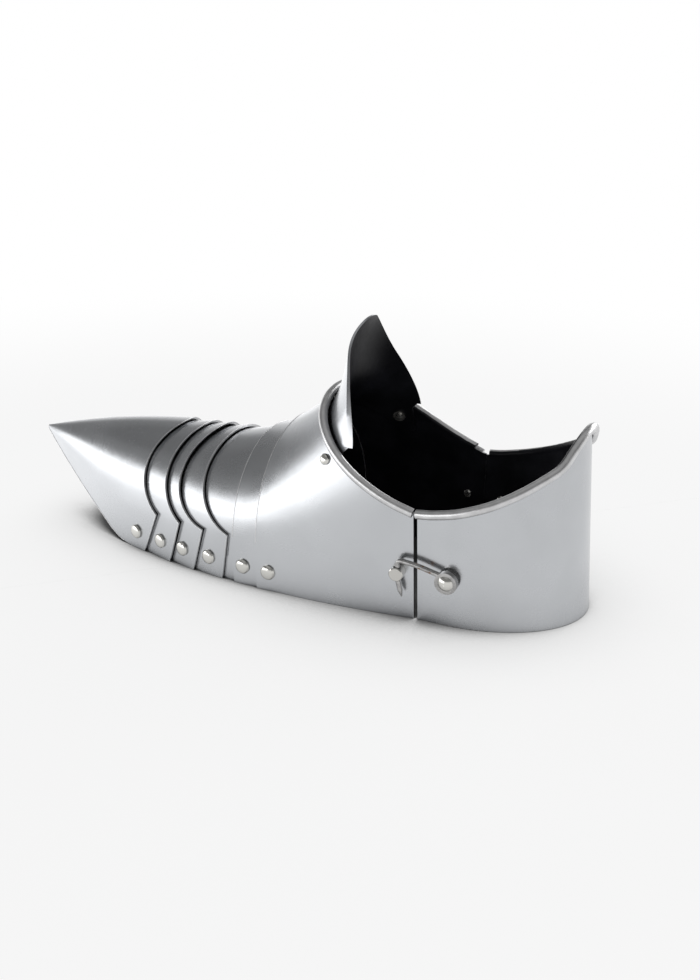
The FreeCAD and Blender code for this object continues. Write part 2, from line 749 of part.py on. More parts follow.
def make_heel_shell():
    """The heel plate without its rolled edge."""
    body = doc.addObject("PartDesign::Body", "heel_shell")
    front = size("SeamGap") / 2
    bottom = -2.0
    high = size("HeelLeanHeight")
    skins = []
    for kind, inset, low, ahead in (("Outer", 0.0, 0.0, front), ("Inner", size("Sheet"), bottom, front - 8)):
        drawn = []
        for level, z in enumerate((low, high)):
            edges = heel_outline(z, inset, ahead)
            drawn.append(sketch(body, "%s%d" % (kind, level), "XY_Plane", edges,
                                Placement(Vector(0, 0, z), Rotation())))
        skins.append(drawn)
    loft(body, "AdditiveLoft", "OuterSkin", skins[0])
    loft(body, "SubtractiveLoft", "InnerSkin", skins[1])
    arc, shoulder, peak = heel_top_curves()
    curve = arc.toShape().Curve
    start = Vector(-5, height_on(curve, -5), 0)
    mid = Vector(size("HeelMidReach"), size("HeelMidHeight"), 0)
    beyond = peak + (peak - shoulder)
    waste = [
        Part.Arc(start, mid, shoulder),
        Part.LineSegment(shoulder, beyond),
        Part.LineSegment(beyond, Vector(beyond.x, TOP_MARGIN, 0)),
        Part.LineSegment(Vector(beyond.x, TOP_MARGIN, 0), Vector(start.x, TOP_MARGIN, 0)),
        Part.LineSegment(Vector(start.x, TOP_MARGIN, 0), start),
    ]
    cut_through(body, "TopEdge", "XZ_Plane", [waste])
    return body


def heel_point(turn):
    """Point of the heel's top edge: `turn` runs from 0 at the end of the straight side to 1 behind."""
    z = size("HeelShoulderHeight")
    for _ in range(30):
        angle = turn * math.pi / 2
        x = size("HeelStraight") + (heel_reach(z) - size("HeelStraight")) * math.sin(angle)
        z = heel_top(x)
    return Vector(x, -heel_half(z) * math.cos(angle), z), angle


def heel_points():
    """Middle line of the heel's rolled edge on the near side, from the seam to the back."""
    out = size("RollDiameter") / 2 - size("Sheet") - ROLL_SINK
    points = []
    for x in (size("SeamGap") / 2, size("HeelStraight") * 0.6):
        z = heel_top(x)
        points.append(Vector(x, -heel_half(z) - out, z))
    for turn in (0.08, 0.25, 0.41, 0.56, 0.69, 0.8, 0.9):
        spot, angle = heel_point(turn)
        depth = heel_reach(spot.z) - size("HeelStraight")
        normal = Vector(math.sin(angle) / depth, -math.cos(angle) / heel_half(spot.z), 0).normalize()
        points.append(spot + normal * out)
    spot, _ = heel_point(1.0)
    points.append(spot + Vector(out, 0, 0))
    return spread(mirrored(points))


def wall_angle():
    """How far the side walls lean out at the seam, in degrees."""
    return math.degrees(math.atan(size("SeamFlare") / (size("SpringRatio") * crown(0))))


def wall_frame(spot, normal):
    """Frame on an outer face: Z along the normal and Y as upright as that allows."""
    along = Vector(0, 0, 1).cross(normal)
    return Placement(spot, Rotation(along, normal.cross(along), normal, "ZXY"))


def place(body, frame):
    """Give a sub-part drawn in its own frame its place in the shoe."""
    body.Placement = Placement(frame.Base, frame.Rotation)
    bind(body, Placement__Base__x="(Sizes.ToeReach - Sizes.HeelReach) / 2 + (%r)" % round(frame.Base.x, 6))


def dome(radius, height, foot):
    """Half outline of a domed head from its rim at `foot` up to its top on the axis."""
    ball = (radius * radius + height * height) / (2 * height)
    half_angle = math.asin(min(1.0, radius / ball)) / 2
    centre = foot + height - ball
    return Part.Arc(
        Vector(radius, foot, 0),
        Vector(ball * math.sin(half_angle), centre + ball * math.cos(half_angle), 0),
        Vector(0, foot + height, 0),
    )


def rivet_outline(head, rise, shank, tail, tail_height, grip):
    """Half outline of a rivet whose head sits at height 0 and whose inner end starts at -grip."""
    seat = size("SeatGap")
    end = -grip - tail_height
    return [
        dome(head / 2, rise, seat),
        line((0, seat + rise, 0), (0, end, 0)),
        line((0, end, 0), (tail * 0.32, end, 0)),
        line((tail * 0.32, end, 0), (tail / 2, -grip - tail_height * 0.35, 0)),
        line((tail / 2, -grip - tail_height * 0.35, 0), (tail / 2, -grip, 0)),
        line((tail / 2, -grip, 0), (shank / 2, -grip, 0)),
        line((shank / 2, -grip, 0), (shank / 2, seat, 0)),
        line((shank / 2, seat, 0), (head / 2, seat, 0)),
    ]


def ring_outline(bore, width, low, high):
    return closed([(bore / 2, low), (width / 2, low), (width / 2, high), (bore / 2, high)])


def turned(body, name, edges, spot, normal):
    """Turn a half outline about the axis through `spot` along `normal`."""
    offset = Placement(spot, Rotation(Vector(0, 1, 0), normal))
    flat = sketch(body, name + "Outline", "XY_Plane", edges, offset)
    feature = body.newObject("PartDesign::Revolution", name)
    feature.Profile = flat
    feature.ReferenceAxis = (flat, ["V_Axis"])
    feature.Angle = 360
    return feature


def stack(layers):
    """Depth from the outer face to the inner face of so many layers of sheet."""
    return layers * size("Sheet") + (layers - 1) * size("SideGap")


def make_pivot_rivets(k):
    body = new_body("pivot_rivets_%d" % k)
    grip = stack(2) + size("SeatGap") + size("WasherGap") + size("WasherThickness")
    outline = rivet_outline(size("RivetHead"), size("RivetDome"), size("RivetShank"),
                            size("TailWidth"), size("TailHeight"), grip)
    near = turned(body, "Near", outline, *pivot_axis(k))
    mirror(body, [near], "XZ_Plane")
    return body


def make_pivot_washers(k):
    body = new_body("pivot_washers_%d" % k)
    inner = -stack(2) - size("WasherGap")
    bore = size("RivetShank") + 2 * size("RivetFit")
    outline = ring_outline(bore, size("WasherWidth"), inner - size("WasherThickness"), inner)
    near = turned(body, "Near", outline, *pivot_axis(k))
    mirror(body, [near], "XZ_Plane")
    return body


def tongue_side():
    x = -size("TongueRivetReach")
    z = size("TongueRivetHeight")
    return vamp_point(x, z), vamp_normal(x, z)


def tongue_crown():
    x = -size("TongueCrownReach")
    return Vector(x, 0, crown(x)), Vector(-slope(crown, x), 0, 1).normalize()


SMALL_HOLE = "(Sizes.SmallShank + 2 * Sizes.RivetFit)"
CLASP_HOLE = "(Sizes.HookShank + 2 * Sizes.RivetFit)"


def tongue_holes(body):
    side = hole(body, "TongueSideHole", *tongue_side(), SMALL_HOLE)
    hole(body, "TongueCrownHole", *tongue_crown(), SMALL_HOLE)
    mirror(body, [side], "XZ_Plane", "TongueFarHole")


def make_tongue_rivets():
    body = new_body("tongue_rivets")
    for name, place_of, depth in tongue_rivet_places():
        grip = depth + size("SeatGap") + size("WasherThickness")
        outline = rivet_outline(size("SmallHead"), size("SmallDome"), size("SmallShank"),
                                size("SmallHead") * 0.8, size("TailHeight"), grip)
        rivet = turned(body, name, outline, *place_of)
    mirror(body, [rivet], "XZ_Plane")
    return body


def make_tongue_washers():
    body = new_body("tongue_washers")
    bore = size("SmallShank") + 2 * size("RivetFit")
    for name, place_of, depth in tongue_rivet_places():
        outline = ring_outline(bore, size("SmallHead") + 1.2, -depth - size("WasherThickness"), -depth)
        washer = turned(body, name, outline, *place_of)
    mirror(body, [washer], "XZ_Plane")
    return body


def tongue_rivet_places():
    """Name, axis and grip of the rivet on the crown and of the one on the near side."""
    return (
        ("Crown", tongue_crown(), stack(2) + size("TongueSlack") + size("TongueCrownPlay")),
        ("Side", tongue_side(), stack(2) + size("TongueSlack") + size("TongueSidePlay")),
    )


def tongue_root(crown_x, inset, depth, count=9):
    """Section of the tongue inside the vamp, in a plane square to the vamp's crown there."""
    tilt = math.atan(slope(crown, -size("CollarReach")))
    origin = Vector(crown_x, 0, crown(crown_x))
    down = Vector(math.cos(tilt), 0, -math.sin(tilt))
    points = [(inset, 0.0)]
    for step in range(1, count + 1):
        run = depth * (step / count) ** 2
        spot = origin + down * run
        outer = vamp_point(spot.x, spot.z)
        inner = outer - vamp_normal(spot.x, spot.z) * inset
        points.append(((inner - origin).dot(down), -inner.y))
    return origin, math.degrees(tilt), points


def tongue_free(origin, tilt, inset, half, depth, count=9):
    """Section of the tongue above the vamp: half an ellipse."""
    points = []
    for step in range(count + 1):
        angle = math.pi / 2 * step / count
        points.append((inset + (depth - inset) * (1 - math.cos(angle)), (half - inset) * math.sin(angle)))
    return origin, tilt, points


def tongue_section(body, name, origin, tilt, points, tail):
    """Closed section: a curve through the points on both sides, carried on straight by `tail`."""
    (u0, v0), (u1, v1) = points[-2:]
    run = Vector(u1 - u0, v1 - v0, 0).normalize() * tail
    ends = [(u1 + run.x, v1 + run.y)] if tail else []
    side = [Vector(u, v, 0) for u, v in points + ends]
    curve = Part.BSplineCurve()
    curve.interpolate([Vector(p.x, -p.y, 0) for p in reversed(side)] + side[1:])
    foot, head = side[-1], Vector(side[-1].x, -side[-1].y, 0)
    edges = [curve, Part.LineSegment(foot, head)]
    return sketch(body, name, "XY_Plane", edges, Placement(origin, Rotation(Vector(0, 1, 0), tilt)))


def make_tongue():
    body = new_body("tongue")
    gap = size("TongueSlack") + size("SideGap")
    low_x = -size("CollarReach") - size("TongueFlange")
    skins = []
    for kind, inset, tail in (("Outer", 0.0, 0.0), ("Inner", size("Sheet"), 3.0)):
        root = inset + size("Sheet") + gap
        drawn = [
            tongue_section(body, kind + "0", *tongue_root(low_x, root, 40.0), tail),
            tongue_section(body, kind + "1", *tongue_root(-size("CollarReach") - 2, root + 0.4, 40.0), tail),
        ]
        for level, (x, z, tilt, depth) in enumerate((
                (-size("TongueLean") - 10.5, size("TongueMidHeight") + 4.5, 25.0, 38.0),
                (-size("TongueLean"), size("TongueTop") + 1.5, 14.0, 38.0)), start=2):
            free = tongue_free(Vector(x, 0, z), tilt, inset, size("TongueHalfWidth") - 1, depth)
            drawn.append(tongue_section(body, kind + str(level), *free, tail))
        skins.append(drawn)
    loft(body, "AdditiveLoft", "OuterSkin", skins[0])
    loft(body, "SubtractiveLoft", "InnerSkin", skins[1])
    half = size("TongueHalfWidth")
    shoulder = Vector(half, size("TongueShoulder"), 0)
    mid = Vector(size("TongueMidHalf"), size("TongueMidHeight"), 0)
    tip = Vector(size("TongueTipHalf"), size("TongueTipHeight"), 0)
    top = Vector(0, size("TongueTop"), 0)
    flip = lambda p: Vector(-p.x, p.y, 0)
    foot = Vector(half + 40, shoulder.y, 0)
    high = Vector(half + 40, TOP_MARGIN, 0)
    waste = [
        Part.Arc(shoulder, mid, tip),
        Part.Arc(tip, top, flip(tip)),
        Part.Arc(flip(tip), flip(mid), flip(shoulder)),
        Part.LineSegment(flip(shoulder), flip(foot)),
        Part.LineSegment(flip(foot), flip(high)),
        Part.LineSegment(flip(high), high),
        Part.LineSegment(high, foot),
        Part.LineSegment(foot, shoulder),
    ]
    cut_through(body, "TongueOutline", "YZ_Plane", [waste])
    ear = -size("TongueEarReach")
    behind = closed([(ear, 0), (ear, shoulder.y - 3), (ear + 3, shoulder.y), (40, shoulder.y), (40, 0)])
    cut_through(body, "EarEdge", "XZ_Plane", [behind])
    tongue_holes(body)
    return body


def clasp_frame():
    """Frame of the hook's pivot, on the near side of the heel plate."""
    z = size("ClaspHeight")
    depth = heel_reach(z) - size("HeelStraight")
    run = size("HookPivotReach") - size("HeelStraight")
    half = heel_half(z) * math.sqrt(1 - (run / depth) ** 2)
    lean = math.tan(math.radians(wall_angle()))
    normal = Vector(half * run / depth ** 2, -1, -lean).normalize()
    return wall_frame(Vector(size("HookPivotReach"), -half, z), normal)


def hook_plane():
    """Distance from the vamp's wall out to the middle of the hook, along the stud."""
    clasp = clasp_frame()
    outward = clasp.Rotation.multVec(Vector(0, 0, 1))
    stud = stud_frame()
    along = stud.Rotation.multVec(Vector(0, 0, 1))
    return ((clasp.Base - stud.Base).dot(outward) + size("HookStandoff")) / along.dot(outward)


def stud_frame():
    """Frame of the stud on the near side of the vamp. It leans to the heel with the wall, so its
    foot stands a little in front of the place where the hook crosses it."""
    x = -size("StudReach") - 0.13 * size("HookStandoff")
    z = size("ClaspHeight")
    return wall_frame(vamp_point(x, z), vamp_normal(x, z))


def spindle(body, name, edges):
    """Turn a half outline about the body's own Z axis."""
    flat = sketch(body, name + "Outline", "XZ_Plane", edges)
    feature = body.newObject("PartDesign::Revolution", name)
    feature.Profile = flat
    feature.ReferenceAxis = (flat, ["V_Axis"])
    feature.Angle = 360
    return feature


def make_stud():
    body = doc.addObject("PartDesign::Body", "stud")
    seat = size("SeatGap")
    wide = size("StudDiameter") / 2
    neck = size("HookShank") / 2
    inside = -size("Sheet") - seat
    end = inside - size("TailHeight")
    spindle(body, "Turning", closed([
        (0, end), (neck * 1.5, end), (neck * 1.5, inside), (neck, inside), (neck, seat),
        (wide, seat), (wide, size("StudLength") - 0.4), (wide - 0.4, size("StudLength")),
        (0, size("StudLength")),
    ]))
    circle = Part.Circle(Vector(0, hook_plane(), 0), Vector(0, 0, 1), size("ProngHole") / 2)
    cut_through(body, "ProngHole", "XZ_Plane", [[circle]])
    place(body, stud_frame())
    return body


def make_hook():
    """Eye, straight bar and prong. The prong follows a circle about the eye, so it swings free."""
    body = doc.addObject("PartDesign::Body", "hook_eye")
    bar = size("HookDiameter")
    middle = size("HookStandoff")
    radius = size("HookPivotReach") + size("StudReach")
    rise = size("HookRise")
    drop = size("HookDrop") - size("HookPoint")
    eye = body.newObject("PartDesign::Pad", "Eye")
    eye.Profile = sketch(body, "EyeOutline", "XY_Plane", [
        Part.Circle(Vector(), Vector(0, 0, 1), size("HookEye") / 2),
        Part.Circle(Vector(), Vector(0, 0, 1), size("HookShank") / 2 + size("RivetFit")),
    ], Placement(Vector(0, 0, middle - size("HookEyeSheet") / 2), Rotation()))
    bind(eye, Length="Sizes.HookEyeSheet")
    start = Vector(-size("HookEye") * 0.3, rise * 0.45, 0)
    shoulder = Vector(-radius * 0.985, rise, 0)
    low_angle = math.asin(drop / radius)
    turns = [share * low_angle - 0.14 for share in (0.25, 0.5, 0.75)] + [low_angle]
    path = [start, Vector(-radius * 0.6, rise * 0.86, 0), shoulder, Vector(-radius, rise * 0.3, 0)]
    path += [Vector(-radius * math.cos(a), -radius * math.sin(a), 0) for a in turns if a > 0]
    rod = doc.addObject("Part::Feature", "hook_bar")
    rod.Shape = tube([p + Vector(0, 0, middle) for p in path], bar)
    point = doc.addObject("Part::Cone", "hook_point")
    bind(point, Radius1="Sizes.HookDiameter / 2", Height="Sizes.HookPoint")
    point.Radius2 = 0.3
    point.Placement = Placement(path[-1] + Vector(0, 0, middle), Rotation(Vector(0, 0, 1), path[-1] - path[-2]))
    piece = doc.addObject("Part::MultiFuse", "hook")
    piece.Shapes = [body, rod, point]
    place(piece, clasp_frame())
    return piece


def make_hook_spacer():
    body = doc.addObject("PartDesign::Body", "hook_spacer")
    seat = size("SeatGap")
    bore = size("HookShank") + 2 * size("RivetFit")
    top = size("HookStandoff") - size("HookEyeSheet") / 2 - seat
    spindle(body, "Ring", ring_outline(bore, size("HookEye") * 0.8, seat, top))
    place(body, clasp_frame())
    return body


def make_hook_rivet():
    body = doc.addObject("PartDesign::Body", "hook_rivet")
    seat = size("SeatGap")
    head = size("HookStandoff") + size("HookEyeSheet") / 2
    grip = head + size("Sheet") + seat
    edges = rivet_outline(size("HookRivetHead"), size("HookRivetDome"), size("HookShank"),
                          size("HookShank") * 1.5, size("TailHeight"), grip)
    for edge in edges:
        edge.translate(Vector(0, head, 0))
    spindle(body, "Turning", edges)
    place(body, clasp_frame())
    return body


def hinge_frame():
    """Upright frame on the far side at the seam and the hinge's lower end. Its X points to the toe."""
    z = size("HingeBottom")
    return wall_frame(Vector(0, heel_half(z), z), Vector(0, 1, 0))


def leaf_turn(side):
    """Turn of a leaf's plate, so that it leans and runs with its own wall."""
    lean = Rotation(Vector(1, 0, 0), wall_angle())
    if side < 0:
        return lean
    z = size("HingeBottom") + size("HingeHeight") / 2
    spread = -vamp_point(-size("HingeLeaf"), z).y - heel_half(z)
    return Rotation(Vector(0, 1, 0), -math.degrees(math.atan(spread / size("HingeLeaf")))) * lean


def leaf_spot(side, x, y, z):
    return leaf_turn(side).multVec(Vector(side * x, y, z))


def wall_rise(height):
    """How far the leaning wall has come outwards at a height over the hinge's lower end."""
    return height * math.tan(math.radians(wall_angle()))


def pin_height():
    """Distance from the wall at the hinge's lower end out to the middle of the pin."""
    return wall_rise(size("HingeHeight")) + size("KnuckleDiameter") / 2 + 0.25


def leaf_seat(side):
    """Gap under a leaf. The front one lies on a curved wall, so it needs a little more."""
    return size("SeatGap") + (0.12 if side > 0 else 0.0)


def knuckle_outline(side, base):
    """Plan of a knuckle: round about the pin, with a foot down to its leaf."""
    radius = size("KnuckleDiameter") / 2
    middle = pin_height()
    corner = radius * math.sqrt(0.5)
    low = Vector(0, middle - radius, 0)
    flank = Vector(side * radius, middle, 0)
    return [
        Part.Arc(low, Vector(-side * corner, middle + corner, 0), flank),
        Part.LineSegment(flank, Vector(side * radius, base, 0)),
        Part.LineSegment(Vector(side * radius, base, 0), Vector(0, base, 0)),
        Part.LineSegment(Vector(0, base, 0), low),
    ]


KNUCKLES = 5


def knuckle_span(index):
    pitch = size("HingeHeight") / KNUCKLES
    gap = size("KnuckleGap") / 2
    low = index * pitch + (gap if index > 0 else 0)
    high = (index + 1) * pitch - (gap if index < KNUCKLES - 1 else 0)
    return low, high


def leaf_rivets():
    """Where the two rivets of a leaf cross it: distance from the pin and height."""
    return [(size("HingeLeaf") * 0.68, size("HingeHeight") * share) for share in (0.23, 0.77)]


def make_leaf(label, first, side):
    """Leaf with every second knuckle from `first`. side is 1 for the leaf on the toe's side."""
    body = doc.addObject("PartDesign::Body", label)
    body.Label = label
    seat = leaf_seat(side)
    thick = size("HingeSheet")
    clear = size("KnuckleDiameter") / 2 + size("KnuckleGap")
    high = size("HingeHeight")
    own = [knuckle_span(k) for k in range(first, KNUCKLES, 2)]
    outline = [(side * clear, 0.0), (side * size("HingeLeaf"), 0.0),
               (side * size("HingeLeaf"), high), (side * clear, high)]
    for low, top in reversed(own):
        if top < high:
            outline.append((side * clear, top))
            outline.append((0.0, top))
        else:
            outline.append((0.0, high))
        if low > 0:
            outline.append((0.0, low))
            outline.append((side * clear, low))
        else:
            outline.append((0.0, 0.0))
    if own[0][0] == 0:
        outline = outline[1:]
    if own[-1][1] == high:
        outline = [p for p in outline if p != (side * clear, high)]
    pad = body.newObject("PartDesign::Pad", "Plate")
    pad.Profile = sketch(body, "PlateOutline", "XY_Plane", closed(outline),
                         Placement(leaf_turn(side).multVec(Vector(0, 0, seat)), leaf_turn(side)))
    bind(pad, Length="Sizes.HingeSheet")
    for index, (low, top) in enumerate(own):
        barrel = body.newObject("PartDesign::Pad", "Knuckle%d" % index)
        base = seat + thick / 2 + wall_rise((low + top) / 2)
        barrel.Profile = sketch(body, "KnuckleOutline%d" % index, "XZ_Plane",
                                knuckle_outline(side, base), Placement(Vector(0, 0, -low), Rotation()))
        barrel.Length = top - low
        barrel.Reversed = True
    bore = size("HingePin") / 2 + size("RivetFit")
    circle = Part.Circle(Vector(0, pin_height(), 0), Vector(0, 0, 1), bore)
    cut_through(body, "PinBore", "XZ_Plane", [[circle]])
    for index, (x, y) in enumerate(leaf_rivets()):
        outward = leaf_turn(side).multVec(Vector(0, 0, 1))
        hole(body, "LeafHole%d" % index, leaf_spot(side, x, y, 0), outward, SMALL_HOLE)
    place(body, hinge_frame())
    return body


def make_pin():
    body = doc.addObject("PartDesign::Body", "hinge_pin")
    radius = size("HingePin") / 2
    seat = size("SeatGap")
    high = size("HingeHeight")
    cap = radius * 1.5
    flat = sketch(body, "PinOutline", "XY_Plane", closed([
        (0, -seat - 0.7), (cap, -seat - 0.7), (cap, -seat), (radius, -seat), (radius, high + seat),
        (cap, high + seat), (cap, high + seat + 0.7), (0, high + seat + 0.7),
    ]), Placement(Vector(0, 0, pin_height()), Rotation()))
    turning = body.newObject("PartDesign::Revolution", "Turning")
    turning.Profile = flat
    turning.ReferenceAxis = (flat, ["V_Axis"])
    turning.Angle = 360
    place(body, hinge_frame())
    return body


def make_leaf_rivets(label, side):
    body = doc.addObject("PartDesign::Body", label)
    body.Label = label
    body.AllowCompound = True
    face = leaf_seat(side) + size("HingeSheet")
    grip = face + size("Sheet") + size("SeatGap") + 0.1
    edges = rivet_outline(size("SmallHead") * 0.85, size("SmallDome") * 0.6, size("SmallShank"),
                          size("SmallHead") * 0.8, size("TailHeight") * 0.7, grip)
    for index, (x, y) in enumerate(leaf_rivets()):
        outward = leaf_turn(side).multVec(Vector(0, 0, 1))
        turned(body, "Rivet%d" % index, edges, leaf_spot(side, x, y, face), outward)
    place(body, hinge_frame())
    return body


def through_frame(frame, spot=Vector(), normal=Vector(0, 0, 1)):
    """A spot and direction of a side frame, in the shoe's own lengths."""
    return frame.multVec(spot), frame.Rotation.multVec(normal)


def leaf_cuts(body, side):
    """Holes for the rivets of a hinge leaf."""
    outward = leaf_turn(side).multVec(Vector(0, 0, 1))
    for index, (x, y) in enumerate(leaf_rivets()):
        spot, normal = through_frame(hinge_frame(), leaf_spot(side, x, y, 0), outward)
        hole(body, "HingeHole%d" % index, spot, normal, SMALL_HOLE)


def make_rolled(label, plate, points, far_cut):
    """Plate fused with its rolled edge, with the bore for the wire. The roll stops short of the
    seam on the far side."""
    roll = doc.addObject("Part::Feature", label + "_roll")
    hollow = doc.addObject("Part::Feature", label + "_bore")
    trimmed = shortened(points, far_cut)
    roll.Shape = tube(trimmed, size("RollDiameter"))
    hollow.Shape = tube(longer(points, 1.0), size("WireDiameter") + 2 * size("WireFit"))
    whole = doc.addObject("Part::Fuse", label + "_whole")
    whole.Base = plate
    whole.Tool = roll
    piece = doc.addObject("Part::Cut", label)
    piece.Base = whole
    piece.Tool = hollow
    piece.Label = label
    bind(piece, Placement__Base__x="(Sizes.ToeReach - Sizes.HeelReach) / 2")
    return piece


def shortened(points, cut):
    """The same path, ending `cut` before its last point."""
    last = points[-2] - points[-1]
    return points[:-1] + [points[-1] + last.normalize() * cut]


def longer(points, extra):
    """The same path, carried on straight by `extra` at both ends."""
    first = (points[0] - points[1]).normalize() * extra
    last = (points[-1] - points[-2]).normalize() * extra
    return [points[0] + first] + points[1:-1] + [points[-1] + last]


def make_wire(label, points):
    wire = doc.addObject("Part::Feature", label)
    wire.Label = label
    wire.Shape = tube(points, size("WireDiameter"))
    bind(wire, Placement__Base__x="(Sizes.ToeReach - Sizes.HeelReach) / 2")
    return wire


def make_ankle_plate():
    shell_body = make_vamp_shell()
    rivet_holes(shell_body, [6], HOLE)
    tongue_holes(shell_body)
    hole(shell_body, "StudHole", *through_frame(stud_frame()), CLASP_HOLE)
    leaf_cuts(shell_body, 1)
    return make_rolled("ankle_plate", shell_body, collar_points(), size("RollEndBack"))


def make_heel_plate():
    shell_body = make_heel_shell()
    hole(shell_body, "HookHole", *through_frame(clasp_frame()), CLASP_HOLE)
    leaf_cuts(shell_body, -1)
    return make_rolled("heel_plate", shell_body, heel_points(), 0.5)


pieces = [make_toe_cap()]
pieces += [make_lame(index) for index in range(1, 6)]
pieces += [make_ankle_plate(), make_heel_plate(), make_tongue()]
pieces.append(make_wire("ankle_edge_wire", shortened(collar_points(), 1.8)))
pieces.append(make_wire("heel_edge_wire", shortened(heel_points(), 0.6)))
pieces += [make_pivot_rivets(k) for k in range(1, PIVOTS + 1)]
pieces += [make_pivot_washers(k) for k in range(1, PIVOTS + 1)]
pieces += [make_tongue_rivets(), make_tongue_washers()]
pieces += [make_stud(), make_hook(), make_hook_spacer(), make_hook_rivet()]
pieces += [make_leaf("hinge_front_leaf", 0, 1), make_leaf("hinge_rear_leaf", 1, -1), make_pin()]
pieces += [make_leaf_rivets("hinge_front_rivets", 1), make_leaf_rivets("hinge_rear_rivets", -1)]
doc.recompute()

for item in doc.Objects:
    if "Invalid" in item.State or "Error" in item.State:
        raise RuntimeError("%s could not be computed: %s" % (item.Name, item.getStatusString()))
for piece in pieces:
    if piece.Shape.isNull() or not piece.Shape.isValid():
        raise RuntimeError("%s has no valid shape" % piece.Label)
os.makedirs("parts", exist_ok=True)
for piece in pieces:
    piece.Shape.exportStep("parts/%s.step" % piece.Label)
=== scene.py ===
"""Plate sabaton for a left foot: brushed steel outside, black paint inside, on a white studio floor.

Lengths are in metres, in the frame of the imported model: toe towards -X, clasp towards -Y, +Z up.
"""
import json
import math

import bmesh
import bpy
from bpy.props import FloatProperty, FloatVectorProperty, IntProperty, PointerProperty
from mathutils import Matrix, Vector
from mathutils.bvhtree import BVHTree


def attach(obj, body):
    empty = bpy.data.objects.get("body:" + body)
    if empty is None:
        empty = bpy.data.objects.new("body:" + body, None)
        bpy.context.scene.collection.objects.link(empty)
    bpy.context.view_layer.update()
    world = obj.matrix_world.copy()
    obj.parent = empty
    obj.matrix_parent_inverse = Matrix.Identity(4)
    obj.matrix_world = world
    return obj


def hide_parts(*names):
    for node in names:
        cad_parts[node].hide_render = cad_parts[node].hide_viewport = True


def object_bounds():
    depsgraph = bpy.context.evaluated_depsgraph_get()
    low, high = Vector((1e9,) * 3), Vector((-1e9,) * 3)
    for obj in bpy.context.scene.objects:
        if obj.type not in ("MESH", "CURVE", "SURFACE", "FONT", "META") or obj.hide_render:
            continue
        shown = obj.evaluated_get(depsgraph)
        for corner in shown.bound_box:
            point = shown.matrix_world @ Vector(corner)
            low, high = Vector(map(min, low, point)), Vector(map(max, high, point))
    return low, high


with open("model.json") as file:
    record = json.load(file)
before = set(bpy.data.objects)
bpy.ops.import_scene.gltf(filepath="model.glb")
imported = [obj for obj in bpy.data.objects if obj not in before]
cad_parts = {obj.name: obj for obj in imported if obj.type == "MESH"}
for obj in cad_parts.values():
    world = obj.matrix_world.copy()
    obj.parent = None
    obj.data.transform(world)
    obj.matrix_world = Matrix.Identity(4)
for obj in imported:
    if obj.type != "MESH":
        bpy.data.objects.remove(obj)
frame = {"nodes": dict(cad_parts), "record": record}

bl_info = {
    "name": "Plate Sabaton",
    "version": (1, 0, 0),
    "blender": (4, 5, 0),
    "location": "View3D > Sidebar > Sabaton",
    "description": "Builds a riveted plate sabaton round its packed frame",
    "category": "Object",
}

CAD_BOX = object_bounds()

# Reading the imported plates: merging distance, sharpest smooth edge and the three kinds of face.
MERGE = 2e-6
SHARP = math.radians(27)
OUTSIDE, INSIDE, EDGE = range(3)
FACING = 0.42

# Middle lines that outward directions are measured from.
FOOT_MIDDLE = 0.018
HEEL_MIDDLE = 0.112
TONGUE_MIDDLE = 0.077

# The rolled rims: distance from the wire, and where the paint begins on their inner side.
ROLL_REACH = 0.00127
PAINT_FACING = -0.2
PAINT_TOP = 0.85

# The seam between the ankle plate and the heel plate.
SEAM_X = 0.097
SEAM_HALF_GAP = 0.001
SEAM_CLOSING = 0.00097
ON_SEAM = 1e-5

# Edges that get a bead: above the floor and long enough.
EDGE_LOW = 0.0008
SHORT_EDGE = 0.03
BEAD_SIDES = 8

# The shape of a rivet's head and of its peened end.
HEAD_RIM = 0.0004
DOME_POWER = 2.1
DOME_DEPTH = 0.97
PEEN_ROUNDING = 0.55
SMOOTH_BEND = 0.6
RIVET_LEAN = 0.025
RIVET_SEED = 7

# Where each row's rivet crosses the near outer wall, and which way it points there.
PIVOT_SPOTS = {
    1: ((-0.081, -0.037937, 0.0105), (-0.29932, -0.95415, 0.0)),
    2: ((-0.061, -0.042747, 0.0105), (-0.29442, -0.95568, 0.0)),
    3: ((-0.044, -0.045988, 0.0105), (-0.25328, -0.96739, 0.0)),
    4: ((-0.025, -0.048714, 0.0105), (-0.15924, -0.98724, 0.0)),
    5: ((-0.002, -0.050776, 0.0105), (-0.01181, -0.99993, 0.0)),
    6: ((0.014, -0.051420, 0.0105), (0.03298, -0.99946, 0.0)),
}
TONGUE_CROWN_SPOT = ((0.0255, 0.0, 0.096102), (-0.64924, 0.0, 0.76059))
TONGUE_SIDE_SPOT = ((0.0455, -0.044855, 0.077), (-0.23879, -0.90882, 0.3421))


def length(name, default, description):
    return FloatProperty(name=name, description=description, default=default, min=0,
                         unit="LENGTH", precision=5)


def share(name, default, description):
    return FloatProperty(name=name, description=description, default=default, min=0, max=1)


def colour(name, default, description):
    return FloatVectorProperty(name=name, description=description, default=default, subtype="COLOR",
                               size=3, min=0, max=1)


class SteelLook(bpy.types.PropertyGroup):
    """Colours and finishes of the steel."""
    plate: colour("Plate", (0.54, 0.553, 0.572), "Colour of the polished plates")
    plate_roughness: share("Plate roughness", 0.24, "How dull the plates are")
    rim: colour("Rim", (0.66, 0.66, 0.665), "Colour of cut edges and rolled rims")
    black: colour("Black paint", (0.006, 0.006, 0.008), "Colour of the paint inside")
    black_roughness: share("Paint roughness", 0.38, "How dull the paint is")
    rivet: colour("Rivets", (0.43, 0.435, 0.44), "Colour of the rivets and washers")
    clasp: colour("Clasp", (0.46, 0.455, 0.45), "Colour of the stud, the hook and the hinge")
    rust: colour("Rust", (0.23, 0.10, 0.035), "Colour of the rust specks on the hook")


